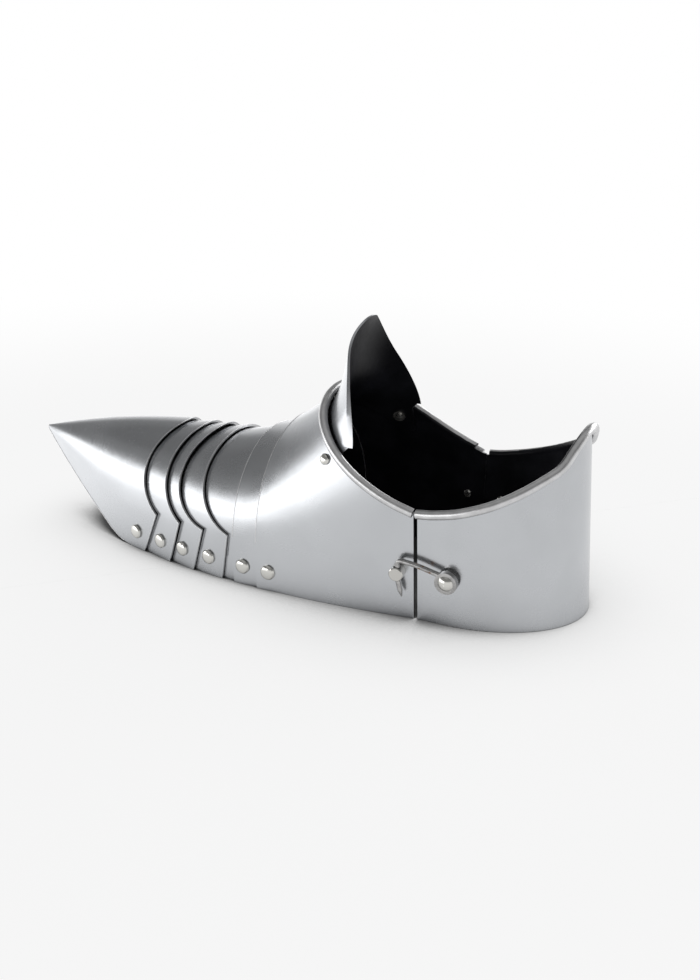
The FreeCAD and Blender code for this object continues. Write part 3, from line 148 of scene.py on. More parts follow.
class RivetSizes(bpy.types.PropertyGroup):
    """Sizes of the domed rivets."""
    head: length("Head", 0.0082, "Diameter of a pivot rivet's head")
    dome: length("Dome", 0.0023, "Height of a pivot rivet's head")
    shank: length("Shank", 0.0034, "Diameter of a pivot rivet's shank")
    tail: length("Tail", 0.0050, "Diameter of its peened end")
    tail_height: length("Tail height", 0.0011, "Height of its peened end")
    seat: length("Seat", 0.00012, "Gap under the head")
    grip: length("Grip", 0.00412, "From the plate's outer face to the peened end")
    small_head: length("Small head", 0.0058, "Diameter of a tongue rivet's head")
    small_dome: length("Small dome", 0.0022, "Height of a tongue rivet's head")
    small_shank: length("Small shank", 0.0028, "Diameter of a tongue rivet's shank")
    small_tail: length("Small tail", 0.00448, "Diameter of its peened end")
    crown_grip: length("Crown grip", 0.00497, "Grip of the tongue rivet on the crown")
    side_grip: length("Side grip", 0.00472, "Grip of the tongue rivets at the sides")
    sides: IntProperty(name="Sides", description="Corners round a head", default=44, min=12, max=96)


class TongueSizes(bpy.types.PropertyGroup):
    """Outline of the tongue's tip."""
    swell: share("Swell", 0.45, "How much wider the tip is than in the packed model")
    swell_from: length("Swell from", 0.116, "Height where the swelling begins")
    swell_to: length("Swell to", 0.139, "Height where it is complete")


class EdgeSizes(bpy.types.PropertyGroup):
    """Sizes of the rounded bright edges of the plates."""
    # The bead's round shape catches real light; its brighter steel is a painted highlight.
    bead: length("Bead", 0.00024, "Radius of the burnished bead along an edge")
    step: length("Step", 0.0007, "Distance between two rings of the bead")


class StageLook(bpy.types.PropertyGroup):
    """Floor, light and camera."""
    floor: colour("Floor", (0.88, 0.885, 0.89), "Colour of the floor")
    floor_reach: length("Floor reach", 60.0, "Half the width of the floor")
    floor_white: share("Floor white", 0.86, "Share of the floor's own white near the shoe")
    window: FloatProperty(name="Window light", description="Power of the long light in front",
                          default=5.6, min=0, unit="POWER")
    back: FloatProperty(name="Back light", description="Power of the light behind",
                        default=7.0, min=0, unit="POWER")
    camera_turn: FloatProperty(name="Camera turn", description="From the clasp side towards the heel",
                               default=math.radians(27.09), subtype="ANGLE")
    camera_rise: FloatProperty(name="Camera rise", description="Above the horizon",
                               default=math.radians(21.22), subtype="ANGLE")
    camera_distance: length("Camera distance", 0.680, "From the camera to its target")
    camera_lens: FloatProperty(name="Lens", description="Focal length in millimetres",
                               default=44.19, min=1)


CAMERA_TARGET = Vector((0.0267, 0.01899, 0.03503))
LAMP_TARGET = Vector((0.0, 0.0, 0.05))
WINDOW_SPOT = Vector((-1.02, -0.98, 0.27))
WINDOW_SIZE = (2.1, 0.46)
BACK_SPOT = Vector((0.6, 1.2, 0.55))
BACK_SIZE = (1.2, 0.6)

# Brightness of the room over the sine of the height above the horizon.
ROOM_STOPS = [
    (0.0, 0.92), (0.20, 0.86), (0.30, 0.52), (0.36, 0.17), (0.42, 0.36), (0.46, 0.12),
    (0.53, 0.44), (0.57, 0.15), (0.70, 0.22), (0.85, 0.40), (1.0, 0.45)]

# The floor: where it fades to white, how far its painted shade reaches, and its side towards the toe,
# which glows brighter in reflections as a painted reflection.
FLOOR_FADE = (0.28, 0.75)
FLOOR_BELOW = 0.0002
SHADOW_REACH = 0.35
SHADOW_CORE = (0.36, 0.66)
SHADOW_SOFT = (0.52, 0.94)
SOFT_SHARE = 0.22
TOE_SIDE = (-0.22, -0.02)
TOE_SIDE_GLOW = 0.6


class Value:
    """A number from a shader's socket, with Python's operators."""

    def __init__(self, shader, socket):
        self.shader = shader
        self.socket = socket

    def maths(self, operation, *operands):
        return self.shader.maths(operation, *operands)

    def __add__(self, other):
        return self.maths("ADD", self, other)

    def __radd__(self, other):
        return self.maths("ADD", other, self)

    def __sub__(self, other):
        return self.maths("SUBTRACT", self, other)

    def __rsub__(self, other):
        return self.maths("SUBTRACT", other, self)

    def __mul__(self, other):
        return self.maths("MULTIPLY", self, other)

    def __rmul__(self, other):
        return self.maths("MULTIPLY", other, self)

    def __gt__(self, other):
        return self.maths("GREATER_THAN", self, other)

    def rise(self, low, high):
        """0 below `low`, 1 above `high` and a smooth step between."""
        ramp = self.shader.node("ShaderNodeMapRange", {"interpolation_type": "SMOOTHSTEP"},
                                {"Value": self, "From Min": low, "From Max": high})
        return Value(self.shader, ramp.outputs["Result"])


class Net:
    """A node tree under construction."""

    def __init__(self, tree):
        self.tree = tree

    def node(self, kind, settings=None, sockets=None):
        made = self.tree.nodes.new(kind)
        for name, value in (settings or {}).items():
            if name == "stops":
                self.set_stops(made.color_ramp, value)
            else:
                setattr(made, name, value)
        for key, value in (sockets or {}).items():
            self.feed(made.inputs[key], value)
        return made

    def feed(self, socket, value):
        if isinstance(value, Value):
            value = value.socket
        if isinstance(value, bpy.types.NodeSocket):
            self.tree.links.new(value, socket)
        else:
            socket.default_value = value

    def set_stops(self, ramp, stops):
        while len(ramp.elements) < len(stops):
            ramp.elements.new(1)
        for element, (position, grey) in zip(ramp.elements, stops):
            element.position = position
            element.color = (grey, grey, grey, 1)

    def maths(self, operation, *operands):
        made = self.node("ShaderNodeMath", {"operation": operation}, dict(enumerate(operands)))
        return Value(self, made.outputs[0])


class Shader(Net):
    """A node material or a world under construction."""

    def __init__(self, owner):
        owner.use_nodes = True
        super().__init__(owner.node_tree)
        self.tree.nodes.clear()

    def place(self, scale=(1, 1, 1), turn=(0, 0, 0), centre=(0, 0, 0)):
        """Object coordinates, turned and stretched."""
        spot = self.node("ShaderNodeTexCoord").outputs["Object"]
        moved = self.node("ShaderNodeMapping", None,
                          {"Vector": spot, "Scale": scale, "Rotation": turn, "Location": centre})
        return moved.outputs["Vector"]

    def noise(self, vector, scale=1.0, detail=3.0, roughness=0.5):
        made = self.node("ShaderNodeTexNoise", {"noise_dimensions": "3D"},
                         {"Vector": vector, "Scale": scale, "Detail": detail, "Roughness": roughness})
        return Value(self, made.outputs["Fac"])

    def mix(self, factor, first, second):
        """A colour between two others."""
        made = self.node("ShaderNodeMix", {"data_type": "RGBA"}, {"Factor": factor})
        self.feed(made.inputs[6], first)
        self.feed(made.inputs[7], second)
        return made.outputs[2]

    def bump(self, height, strength, distance):
        made = self.node("ShaderNodeBump", None,
                         {"Height": height, "Strength": strength, "Distance": distance})
        return made.outputs["Normal"]

    def surface(self, **sockets):
        names = {key.replace("_", " "): value for key, value in sockets.items()}
        skin = self.node("ShaderNodeBsdfPrincipled", None, names)
        self.node("ShaderNodeOutputMaterial", None, {"Surface": skin.outputs["BSDF"]})


def rgba(shade, factor=1.0):
    return tuple(min(1.0, part * factor) for part in shade) + (1.0,)


def new_shader(name):
    material = bpy.data.materials.new(name)
    return material, Shader(material)


def scratches(shader, turn, fineness):
    """Sparse thin lines along one direction."""
    lines = shader.noise(shader.place((18, fineness, fineness), turn), 1.0, 1.0, 0.5)
    patches = shader.noise(shader.place((30, 30, 30), turn, (3.1, 0.7, 1.9)), 1.0, 1.0)
    return lines.rise(0.73, 0.76) * patches.rise(0.55, 0.62)


def brushed_plate(look):
    """Satin plate: long brushing lines, faint smudges and a few scratches."""
    material, shader = new_shader("brushed_plate")
    grain = shader.noise(shader.place((34, 3600, 3600)), 1.0, 2.0, 0.6)
    smudge = shader.noise(shader.place((1, 1, 1)), 14.0, 3.0, 0.5)
    cloud = shader.noise(shader.place((1, 1, 1), (0.4, 0.2, 0.1)), 42.0, 3.0, 0.5)
    marks = scratches(shader, (0.2, 0.5, 0.9), 2600) + scratches(shader, (0.1, -0.8, 0.4), 3000)
    wear = smudge.rise(0.36, 0.66)
    shine = wear * 0.7 + cloud.rise(0.4, 0.7) * 0.3
    tint = shader.mix(shine, rgba(look.plate, 0.94), rgba(look.plate, 1.04))
    dull = grain * 0.06 + cloud.rise(0.45, 0.75) * 0.04 + marks * 0.08
    rough = wear * -0.04 + look.plate_roughness + dull
    height = grain * 0.5 - marks * 0.8
    shader.surface(Base_Color=tint, Metallic=1.0, Roughness=rough,
                   Normal=shader.bump(height, 0.10, 0.00003))
    return material


def rim_steel(look, bright):
    """Steel of the rolled rims, or the steel of the edge beads, whose brighter colour is a painted
    highlight on their real rounding.
    """
    material, shader = new_shader("edge_steel_painted_highlight" if bright else "rim_steel")
    worn = shader.noise(shader.place((1, 1, 1)), 190.0, 3.0, 0.6)
    long_marks = shader.noise(shader.place((90, 900, 900)), 1.0, 2.0)
    # The edge beads' steel is painted brighter than the rims: a painted highlight.
    low, high = (0.98, 1.25) if bright else (0.86, 1.02)
    tint = shader.mix(worn.rise(0.35, 0.7), rgba(look.rim, low), rgba(look.rim, high))
    rough = worn * 0.14 + (0.28 if bright else 0.27)
    shader.surface(Base_Color=tint, Metallic=1.0, Roughness=rough,
                   Normal=shader.bump(worn * 0.4 + long_marks * 0.4, 0.14, 0.00008))
    return material


def black_paint(look):
    """Brushed-on black paint with a low sheen."""
    material, shader = new_shader("black_paint")
    strokes = shader.noise(shader.place((70, 340, 340)), 1.0, 3.0, 0.6)
    pool = shader.noise(shader.place((1, 1, 1)), 60.0, 3.0)
    tint = shader.mix(pool.rise(0.4, 0.7), rgba(look.black), rgba(look.black, 2.2))
    rough = strokes * 0.16 + pool * 0.1 + (look.black_roughness - 0.12)
    shader.surface(Base_Color=tint, Metallic=0.0, Roughness=rough, Specular_IOR_Level=0.22,
                   Normal=shader.bump(strokes * 0.7 + pool * 0.5, 0.25, 0.0002))
    return material


def rivet_steel(look):
    """Turned and hammered steel of the rivets."""
    material, shader = new_shader("rivet_steel")
    dents = shader.noise(shader.place((1, 1, 1)), 520.0, 2.0, 0.5)
    dirt = shader.noise(shader.place((1, 1, 1)), 160.0, 3.0, 0.6)
    tint = shader.mix(dirt.rise(0.4, 0.68), rgba(look.rivet, 0.8), rgba(look.rivet, 1.05))
    shader.surface(Base_Color=tint, Metallic=1.0, Roughness=dents * 0.12 + 0.13 + dirt * 0.06,
                   Normal=shader.bump(dents, 0.3, 0.00018))
    return material


def clasp_steel(look, rusty):
    """Dull forged steel; the hook has a few specks of rust on its bar."""
    material, shader = new_shader("rusty_clasp_steel" if rusty else "clasp_steel")
    tool = shader.noise(shader.place((300, 900, 900)), 1.0, 3.0, 0.6)
    dirt = shader.noise(shader.place((1, 1, 1)), 240.0, 4.0, 0.6)
    tint = shader.mix(dirt.rise(0.38, 0.66), rgba(look.clasp, 0.72), rgba(look.clasp, 1.08))
    rough = tool * 0.14 + 0.18 + dirt * 0.08
    metal = 1.0
    if rusty:
        along = shader.node("ShaderNodeSeparateXYZ", None, {"Vector": shader.place()})
        x = Value(shader, along.outputs["X"])
        near_bar = x.rise(0.0975, 0.1005) * (1 - x.rise(0.1055, 0.1085))
        specks = shader.noise(shader.place((1, 1, 1), (0, 0, 0), (0.3, 0.9, 0.1)), 520.0, 4.0, 0.65)
        rust = near_bar * specks.rise(0.52, 0.60)
        tint = shader.mix(rust, tint, rgba(look.rust))
        rough = rough * (1 - rust) + rust * 0.75
        metal = 1 - rust * 0.9
    shader.surface(Base_Color=tint, Metallic=metal, Roughness=rough,
                   Normal=shader.bump(tool * 0.6 + dirt * 0.5, 0.25, 0.00016))
    return material


def material(name):
    """The finish of that name, made the first time that it is asked for."""
    look = bpy.context.scene.sabaton_steel
    if name not in bpy.data.materials:
        makers = {
            "brushed_plate": lambda: brushed_plate(look),
            "rim_steel": lambda: rim_steel(look, False),
            "edge_steel_painted_highlight": lambda: rim_steel(look, True),
            "black_paint": lambda: black_paint(look),
            "rivet_steel": lambda: rivet_steel(look),
            "clasp_steel": lambda: clasp_steel(look, False),
            "rusty_clasp_steel": lambda: clasp_steel(look, True),
        }
        makers[name]()
    return bpy.data.materials[name]


def body_of(node):
    """The body that a CAD node rides on."""
    groups = frame["record"]["behaviour"]["bodies"]
    return [body for body, members in groups.items() if node in members][0]


def add_object(name, mesh):
    piece = bpy.data.objects.new(name, mesh)
    bpy.context.scene.collection.objects.link(piece)
    return piece


def merged_shape(node):
    """The CAD node's triangles joined up, with their sharp edges marked."""
    shape = bmesh.new()
    shape.from_mesh(frame["nodes"][node].data)
    bmesh.ops.remove_doubles(shape, verts=shape.verts, dist=MERGE)
    for edge in shape.edges:
        edge.smooth = len(edge.link_faces) == 2 and edge.calc_face_angle() < SHARP
    for face in shape.faces:
        face.smooth = True
    shape.faces.ensure_lookup_table()
    return shape


def smooth_regions(shape):
    """Lists of faces that meet across smooth edges."""
    left = set(shape.faces)
    while left:
        start = left.pop()
        region, front = [start], [start]
        while front:
            face = front.pop()
            for edge in face.edges:
                if not edge.smooth:
                    continue
                for other in edge.link_faces:
                    if other in left:
                        left.discard(other)
                        region.append(other)
                        front.append(other)
        yield region


def over_foot(spot):
    """Outward direction from the middle of the foot, square to its length."""
    return Vector((0, spot.y, spot.z - FOOT_MIDDLE))


def round_heel(spot):
    """Outward direction from the middle of the heel, level."""
    return Vector((spot.x - HEEL_MIDDLE, spot.y, 0))


def round_tongue(spot):
    """Outward direction from the ankle, level."""
    return Vector((spot.x - TONGUE_MIDDLE, spot.y, 0))


def side_of(region, outward):
    """Whether a region faces out, in or sideways."""
    total, area = 0.0, 0.0
    for face in region:
        size = face.calc_area()
        direction = outward(face.calc_center_median())
        if direction.length > 0 and size > 0:
            total += size * face.normal.dot(direction.normalized())
            area += size
    facing = total / area if area else 0.0
    if facing > FACING:
        return OUTSIDE
    return INSIDE if facing < -FACING else EDGE


def finish_piece(node, name, shape, finishes):
    """Turn a shape into the piece that stands for a CAD node."""
    mesh = bpy.data.meshes.new(name)
    shape.to_mesh(mesh)
    shape.free()
    for finish in finishes:
        mesh.materials.append(material(finish))
    piece = add_object(name, mesh)
    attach(piece, body_of(node))
    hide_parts(node)


def finish_roll(shape, wire, outward):
    """Give the rolled rim, which lies close round its wire, steel outside and paint inside."""
    core = frame["nodes"][wire].data
    tree = BVHTree.FromPolygons([v.co for v in core.vertices], [p.vertices for p in core.polygons])
    for face in shape.faces:
        spot = face.calc_center_median()
        if tree.find_nearest(spot, ROLL_REACH)[0] is not None:
            turned_in = face.normal.dot(outward(spot).normalized()) < PAINT_FACING
            painted = turned_in and face.normal.z < PAINT_TOP
            face.material_index = INSIDE if painted else EDGE


def close_far_seam(shape, towards):
    """Bring the plate's edge at the hinge nearer to its neighbour, as it is drawn together there."""
    edge = SEAM_X - towards * SEAM_HALF_GAP
    for corner in shape.verts:
        if corner.co.y > 0 and abs(corner.co.x - edge) < ON_SEAM:
            corner.co.x += towards * SEAM_CLOSING


def make_plate(node, name, outward, wire=None):
    """Plate with brushed outside, black inside and bright edges."""
    shape = merged_shape(node)
    for region in smooth_regions(shape):
        index = side_of(region, outward)
        for face in region:
            face.material_index = index
    if node == "tongue":
        rounder_tongue(shape)
    if wire:
        finish_roll(shape, wire, outward)
        close_far_seam(shape, 1 if node == "ankle_plate" else -1)
    lay_beads(shape, name + "_edge", body_of(node))
    finish_piece(node, name, shape, ["brushed_plate", "black_paint", "rim_steel"])


def open_edges(shape):
    """Edges between a plate's outside and its cut faces, above the floor."""
    for edge in shape.edges:
        kinds = {face.material_index for face in edge.link_faces}
        outer = kinds == {OUTSIDE, EDGE} and not edge.smooth
        if (outer or len(edge.link_faces) == 1) and min(v.co.z for v in edge.verts) > EDGE_LOW:
            yield edge


def edge_runs(edges):
    """Groups of edges that hang together."""
    left = set(edges)
    while left:
        run, front = [], [left.pop()]
        while front:
            edge = front.pop()
            run.append(edge)
            for corner in edge.verts:
                for other in corner.link_edges:
                    if other in left:
                        left.discard(other)
                        front.append(other)
        yield run


def bead_tree():
    """Nodes that lay a thin round bead along every edge."""
    tree = bpy.data.node_groups.new("edge_beads", "GeometryNodeTree")
    sockets = tree.interface
    sockets.new_socket("Edges", in_out="INPUT", socket_type="NodeSocketGeometry")
    sockets.new_socket("Bead", in_out="INPUT", socket_type="NodeSocketFloat")
    sockets.new_socket("Step", in_out="INPUT", socket_type="NodeSocketFloat")
    sockets.new_socket("Steel", in_out="INPUT", socket_type="NodeSocketMaterial")
    sockets.new_socket("Beads", in_out="OUTPUT", socket_type="NodeSocketGeometry")
    net = Net(tree)
    given = net.node("NodeGroupInput").outputs
    path = net.node("GeometryNodeMeshToCurve", None, {"Mesh": given["Edges"]})
    even = net.node("GeometryNodeResampleCurve", {"mode": "LENGTH"},
                    {"Curve": path.outputs[0], "Length": given["Step"]})
    ring = net.node("GeometryNodeCurvePrimitiveCircle", None,
                    {"Resolution": BEAD_SIDES, "Radius": given["Bead"]})
    bar = net.node("GeometryNodeCurveToMesh", None, {
        "Curve": even.outputs[0], "Profile Curve": ring.outputs["Curve"], "Fill Caps": True})
    smooth = net.node("GeometryNodeSetShadeSmooth", None, {"Geometry": bar.outputs[0]})
    real = net.node("GeometryNodeRealizeInstances", None, {"Geometry": smooth.outputs[0]})
    steel = net.node("GeometryNodeSetMaterial", None,
                     {"Geometry": real.outputs[0], "Material": given["Steel"]})
    net.node("NodeGroupOutput", None, {"Beads": steel.outputs[0]})
    return tree


def within_box(spot, margin):
    """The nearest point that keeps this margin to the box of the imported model."""
    low, high = CAD_BOX
    return Vector(min(max(part, a + margin), b - margin) for part, a, b in zip(spot, low, high))


def lay_beads(shape, name, body):
    """Round beads along a plate's long open edges, in steel with a painted highlight, as a piece of
    their own, if it has any.
    """
    corners, pairs = {}, []
    for run in edge_runs(open_edges(shape)):
        if sum(edge.calc_length() for edge in run) < SHORT_EDGE:
            continue
        for edge in run:
            pairs.append(tuple(corners.setdefault(corner, len(corners)) for corner in edge.verts))
    if not pairs:
        return
    mesh = bpy.data.meshes.new(name + "_path")
    sizes = bpy.context.scene.sabaton_edges
    mesh.from_pydata([within_box(corner.co, sizes.bead) for corner in corners], pairs, [])
    tree = bpy.data.node_groups.get("edge_beads") or bead_tree()
    values = {"Bead": sizes.bead, "Step": sizes.step, "Steel": material("edge_steel_painted_highlight")}
    piece = add_object(name, grown(tree, name, mesh, values))
    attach(piece, body)


def make_fitting(node, name, finish):
    """Small piece of one finish."""
    finish_piece(node, name, merged_shape(node), [finish])


def plain_mesh(holder, name):
    """What an object's modifiers make of it, as one plain mesh. The object itself goes."""
    ready = holder.evaluated_get(bpy.context.evaluated_depsgraph_get())
    mesh = bpy.data.meshes.new_from_object(ready)
    mesh.name = name
    bpy.data.objects.remove(holder)
    if not mesh.polygons:
        raise RuntimeError("nothing was made for " + name)
    return mesh


def grown(tree, name, seed, values):
    """The plain mesh that a node tree grows from `seed` with these input values."""
    holder = add_object(name + "_seed", seed)
    modifier = holder.modifiers.new("grow", "NODES")
    modifier.node_group = tree
    for item in tree.interface.items_tree:
        if item.in_out == "INPUT" and item.name in values:
            modifier[item.identifier] = values[item.name]
    return plain_mesh(holder, name)


def rivet_tree():
    """Nodes that set a domed rivet on every point, along the point's own direction."""
    tree = bpy.data.node_groups.new("domed_rivets", "GeometryNodeTree")
    sockets = tree.interface
    sockets.new_socket("Points", in_out="INPUT", socket_type="NodeSocketGeometry")
    for name in ("Head", "Dome", "Shank", "Tail", "Tail Height", "Seat", "Grip"):
        sockets.new_socket(name, in_out="INPUT", socket_type="NodeSocketFloat")
    sockets.new_socket("Sides", in_out="INPUT", socket_type="NodeSocketInt")
    sockets.new_socket("Steel", in_out="INPUT", socket_type="NodeSocketMaterial")
    sockets.new_socket("Rivets", in_out="OUTPUT", socket_type="NodeSocketGeometry")
    net = Net(tree)
    given = net.node("NodeGroupInput").outputs
    spots = {socket.name: Value(net, socket) for socket in given if socket.name}
    where = net.node("GeometryNodeInputPosition").outputs[0]
    apart = net.node("ShaderNodeSeparateXYZ", None, {"Vector": where})
    x, y, z = (Value(net, apart.outputs[axis]) for axis in "XYZ")

    def drum(width, depth, rings):
        made = net.node("GeometryNodeMeshCylinder", {"fill_type": "TRIANGLE_FAN"}, {
            "Vertices": spots["Sides"], "Side Segments": 1, "Fill Segments": rings,
            "Radius": width * 0.5, "Depth": depth})
        return made.outputs["Mesh"]

    def shift(mesh, height):
        push = net.node("ShaderNodeCombineXYZ", None, {"Z": height})
        moved = net.node("GeometryNodeSetPosition", None, {"Geometry": mesh, "Offset": push.outputs[0]})
        return moved.outputs[0]

    head = shift(drum(spots["Head"], HEAD_RIM, 7), spots["Seat"] + HEAD_RIM / 2)
    radius = net.maths("SQRT", x * x + y * y)
    away = net.maths("DIVIDE", radius, spots["Head"] * 0.5)
    top = z > (spots["Seat"] + HEAD_RIM * 0.75)
    fall = net.maths("POWER", net.maths("MINIMUM", away, 1.0), DOME_POWER)
    ball = net.maths("SQRT", 1 - fall * DOME_DEPTH)
    head = shift(head, top * (spots["Dome"] - HEAD_RIM) * ball)
    shank = shift(drum(spots["Shank"], spots["Grip"] + spots["Seat"], 1),
                  (spots["Seat"] - spots["Grip"]) * 0.5)
    tail = shift(drum(spots["Tail"], spots["Tail Height"], 4),
                 -1 * (spots["Grip"] + spots["Tail Height"] * 0.5))
    low = net.maths("LESS_THAN", z, -1 * (spots["Grip"] + spots["Tail Height"] * 0.75))
    out = net.maths("DIVIDE", radius, spots["Tail"] * 0.5)
    tail = shift(tail, low * out * out * spots["Tail Height"] * PEEN_ROUNDING)
    whole = net.node("GeometryNodeJoinGeometry")
    for mesh in (tail, shank, head):
        tree.links.new(mesh, whole.inputs[0])
    smooth = net.node("GeometryNodeSetShadeSmooth", {"domain": "EDGE"}, {"Geometry": whole.outputs[0]})
    bend = net.node("GeometryNodeInputMeshEdgeAngle")
    gentle = net.maths("LESS_THAN", Value(net, bend.outputs["Unsigned Angle"]), SMOOTH_BEND)
    net.feed(smooth.inputs["Shade Smooth"], gentle)
    outward = net.node("GeometryNodeInputNamedAttribute", {"data_type": "FLOAT_VECTOR"},
                       {"Name": "outward"})
    turn = net.node("FunctionNodeAlignRotationToVector", {"axis": "Z"}, {"Vector": outward.outputs[0]})
    lean = net.node("FunctionNodeRandomValue", {"data_type": "FLOAT_VECTOR"},
                    {"Min": (-RIVET_LEAN, -RIVET_LEAN, -3.0), "Max": (RIVET_LEAN, RIVET_LEAN, 3.0),
                     "Seed": RIVET_SEED})
    tipped = net.node("FunctionNodeRotateRotation", {"rotation_space": "LOCAL"},
                      {"Rotation": turn.outputs[0], "Rotate By": lean.outputs[0]})
    laid = net.node("GeometryNodeInstanceOnPoints", None, {
        "Points": spots["Points"], "Instance": smooth.outputs[0], "Rotation": tipped.outputs[0]})
    real = net.node("GeometryNodeRealizeInstances", None, {"Geometry": laid.outputs[0]})
    steel = net.node("GeometryNodeSetMaterial", None,
                     {"Geometry": real.outputs[0], "Material": spots["Steel"]})
    net.node("NodeGroupOutput", None, {"Rivets": steel.outputs[0]})
    return tree


def both_sides(spot, outward):
    """A place on the near side and its mirror image on the far side."""
    (x, y, z), (u, v, w) = spot, outward
    return [((x, y, z), (u, v, w)), ((x, -y, z), (u, -v, w))]


def set_rivets(node, name, places, sizes):
    """Rivets of one kind at their places, as one plain mesh."""
    tree = bpy.data.node_groups.get("domed_rivets") or rivet_tree()
    points = bpy.data.meshes.new(name + "_points")
    points.from_pydata([spot for spot, _ in places], [], [])
    direction = points.attributes.new("outward", "FLOAT_VECTOR", "POINT")
    for index, (_, outward) in enumerate(places):
        direction.data[index].vector = outward
    piece = add_object(name, grown(tree, name, points, sizes))
    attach(piece, body_of(node))
    return piece


def rounder_tongue(shape):
    """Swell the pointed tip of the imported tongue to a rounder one."""
    sizes = bpy.context.scene.sabaton_tongue
    for corner in shape.verts:
        way = (corner.co.z - sizes.swell_from) / (sizes.swell_to - sizes.swell_from)
        way = min(1.0, max(0.0, way))
        corner.co.y *= 1 + sizes.swell * way * way


class SABATON_OT_toe_cap(bpy.types.Operator):
    """Finish the pointed toe cap"""
    bl_idname = "sabaton.toe_cap"
    bl_label = "Toe Cap"

    def execute(self, context):
        make_plate("toe_cap", "pointed_toe_cap", over_foot)
        return {"FINISHED"}


class SABATON_OT_lames(bpy.types.Operator):
    """Finish the five overlapping lames"""
    bl_idname = "sabaton.lames"
    bl_label = "Lames"

    def execute(self, context):
        for index in range(1, 6):
            make_plate("lame_%d" % index, "overlapping_lame_%d" % index, over_foot)
        return {"FINISHED"}


class SABATON_OT_ankle_plate(bpy.types.Operator):
    """Finish the ankle plate with its rolled collar"""
    bl_idname = "sabaton.ankle_plate"
    bl_label = "Ankle Plate"

    def execute(self, context):
        make_plate("ankle_plate", "rolled_ankle_plate", over_foot, "ankle_edge_wire")
        return {"FINISHED"}


class SABATON_OT_heel_plate(bpy.types.Operator):
    """Finish the heel plate with its rolled rim"""
    bl_idname = "sabaton.heel_plate"
    bl_label = "Heel Plate"

    def execute(self, context):
        make_plate("heel_plate", "rolled_heel_plate", round_heel, "heel_edge_wire")
        return {"FINISHED"}


class SABATON_OT_tongue(bpy.types.Operator):
    """Finish the tall tongue"""
    bl_idname = "sabaton.tongue"
    bl_label = "Tongue"

    def execute(self, context):
        make_plate("tongue", "tall_tongue", round_tongue)
        return {"FINISHED"}


class SABATON_OT_rivets(bpy.types.Operator):
    """Set the domed rivets of the plates and the tongue"""
    bl_idname = "sabaton.rivets"
    bl_label = "Rivets"

    def execute(self, context):
        sizes = context.scene.sabaton_rivets
        large = {"Head": sizes.head, "Dome": sizes.dome, "Shank": sizes.shank, "Tail": sizes.tail,
                 "Tail Height": sizes.tail_height, "Seat": sizes.seat, "Grip": sizes.grip,
                 "Sides": sizes.sides, "Steel": material("rivet_steel")}
        small = dict(large, Head=sizes.small_head, Dome=sizes.small_dome, Shank=sizes.small_shank,
                     Tail=sizes.small_tail)
        for k, place in PIVOT_SPOTS.items():
            node = "pivot_rivets_%d" % k
            piece = set_rivets(node, "domed_rivets_%d" % k, both_sides(*place), large)
            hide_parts(node)
        crown = set_rivets("tongue_rivets", "tongue_crown_rivet", [TONGUE_CROWN_SPOT],
                           dict(small, Grip=sizes.crown_grip))
        sides = set_rivets("tongue_rivets", "tongue_side_rivets", both_sides(*TONGUE_SIDE_SPOT),
                           dict(small, Grip=sizes.side_grip))
        for piece in (crown, sides):
            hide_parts("tongue_rivets")
        return {"FINISHED"}


class SABATON_OT_washers(bpy.types.Operator):
    """Finish the washers inside"""
    bl_idname = "sabaton.washers"
    bl_label = "Washers"

    def execute(self, context):
        for k in PIVOT_SPOTS:
            make_fitting("pivot_washers_%d" % k, "round_washers_%d" % k, "clasp_steel")
        make_fitting("tongue_washers", "small_washers", "clasp_steel")
        return {"FINISHED"}


class SABATON_OT_wires(bpy.types.Operator):
    """Finish the wires inside the rolled rims"""
    bl_idname = "sabaton.wires"
    bl_label = "Rim Wires"

    def execute(self, context):
        make_fitting("ankle_edge_wire", "collar_wire", "rim_steel")
        make_fitting("heel_edge_wire", "heel_wire", "rim_steel")
        return {"FINISHED"}


class SABATON_OT_clasp(bpy.types.Operator):
    """Finish the stud, the hook, its spacer and its rivet"""
    bl_idname = "sabaton.clasp"
    bl_label = "Clasp"

    def execute(self, context):
        make_fitting("stud", "drilled_stud", "clasp_steel")
        make_fitting("hook", "bent_hook", "rusty_clasp_steel")
        make_fitting("hook_spacer", "hook_collar", "clasp_steel")
        make_fitting("hook_rivet", "hook_pivot_rivet", "rivet_steel")
        return {"FINISHED"}


class SABATON_OT_hinge(bpy.types.Operator):
    """Finish the hinge on the far side"""
    bl_idname = "sabaton.hinge"
    bl_label = "Hinge"

    def execute(self, context):
        make_fitting("hinge_front_leaf", "front_leaf", "clasp_steel")
        make_fitting("hinge_rear_leaf", "rear_leaf", "clasp_steel")
        make_fitting("hinge_pin", "upright_pin", "rim_steel")
        make_fitting("hinge_front_rivets", "front_leaf_rivets", "rivet_steel")
        make_fitting("hinge_rear_rivets", "rear_leaf_rivets", "rivet_steel")
        return {"FINISHED"}


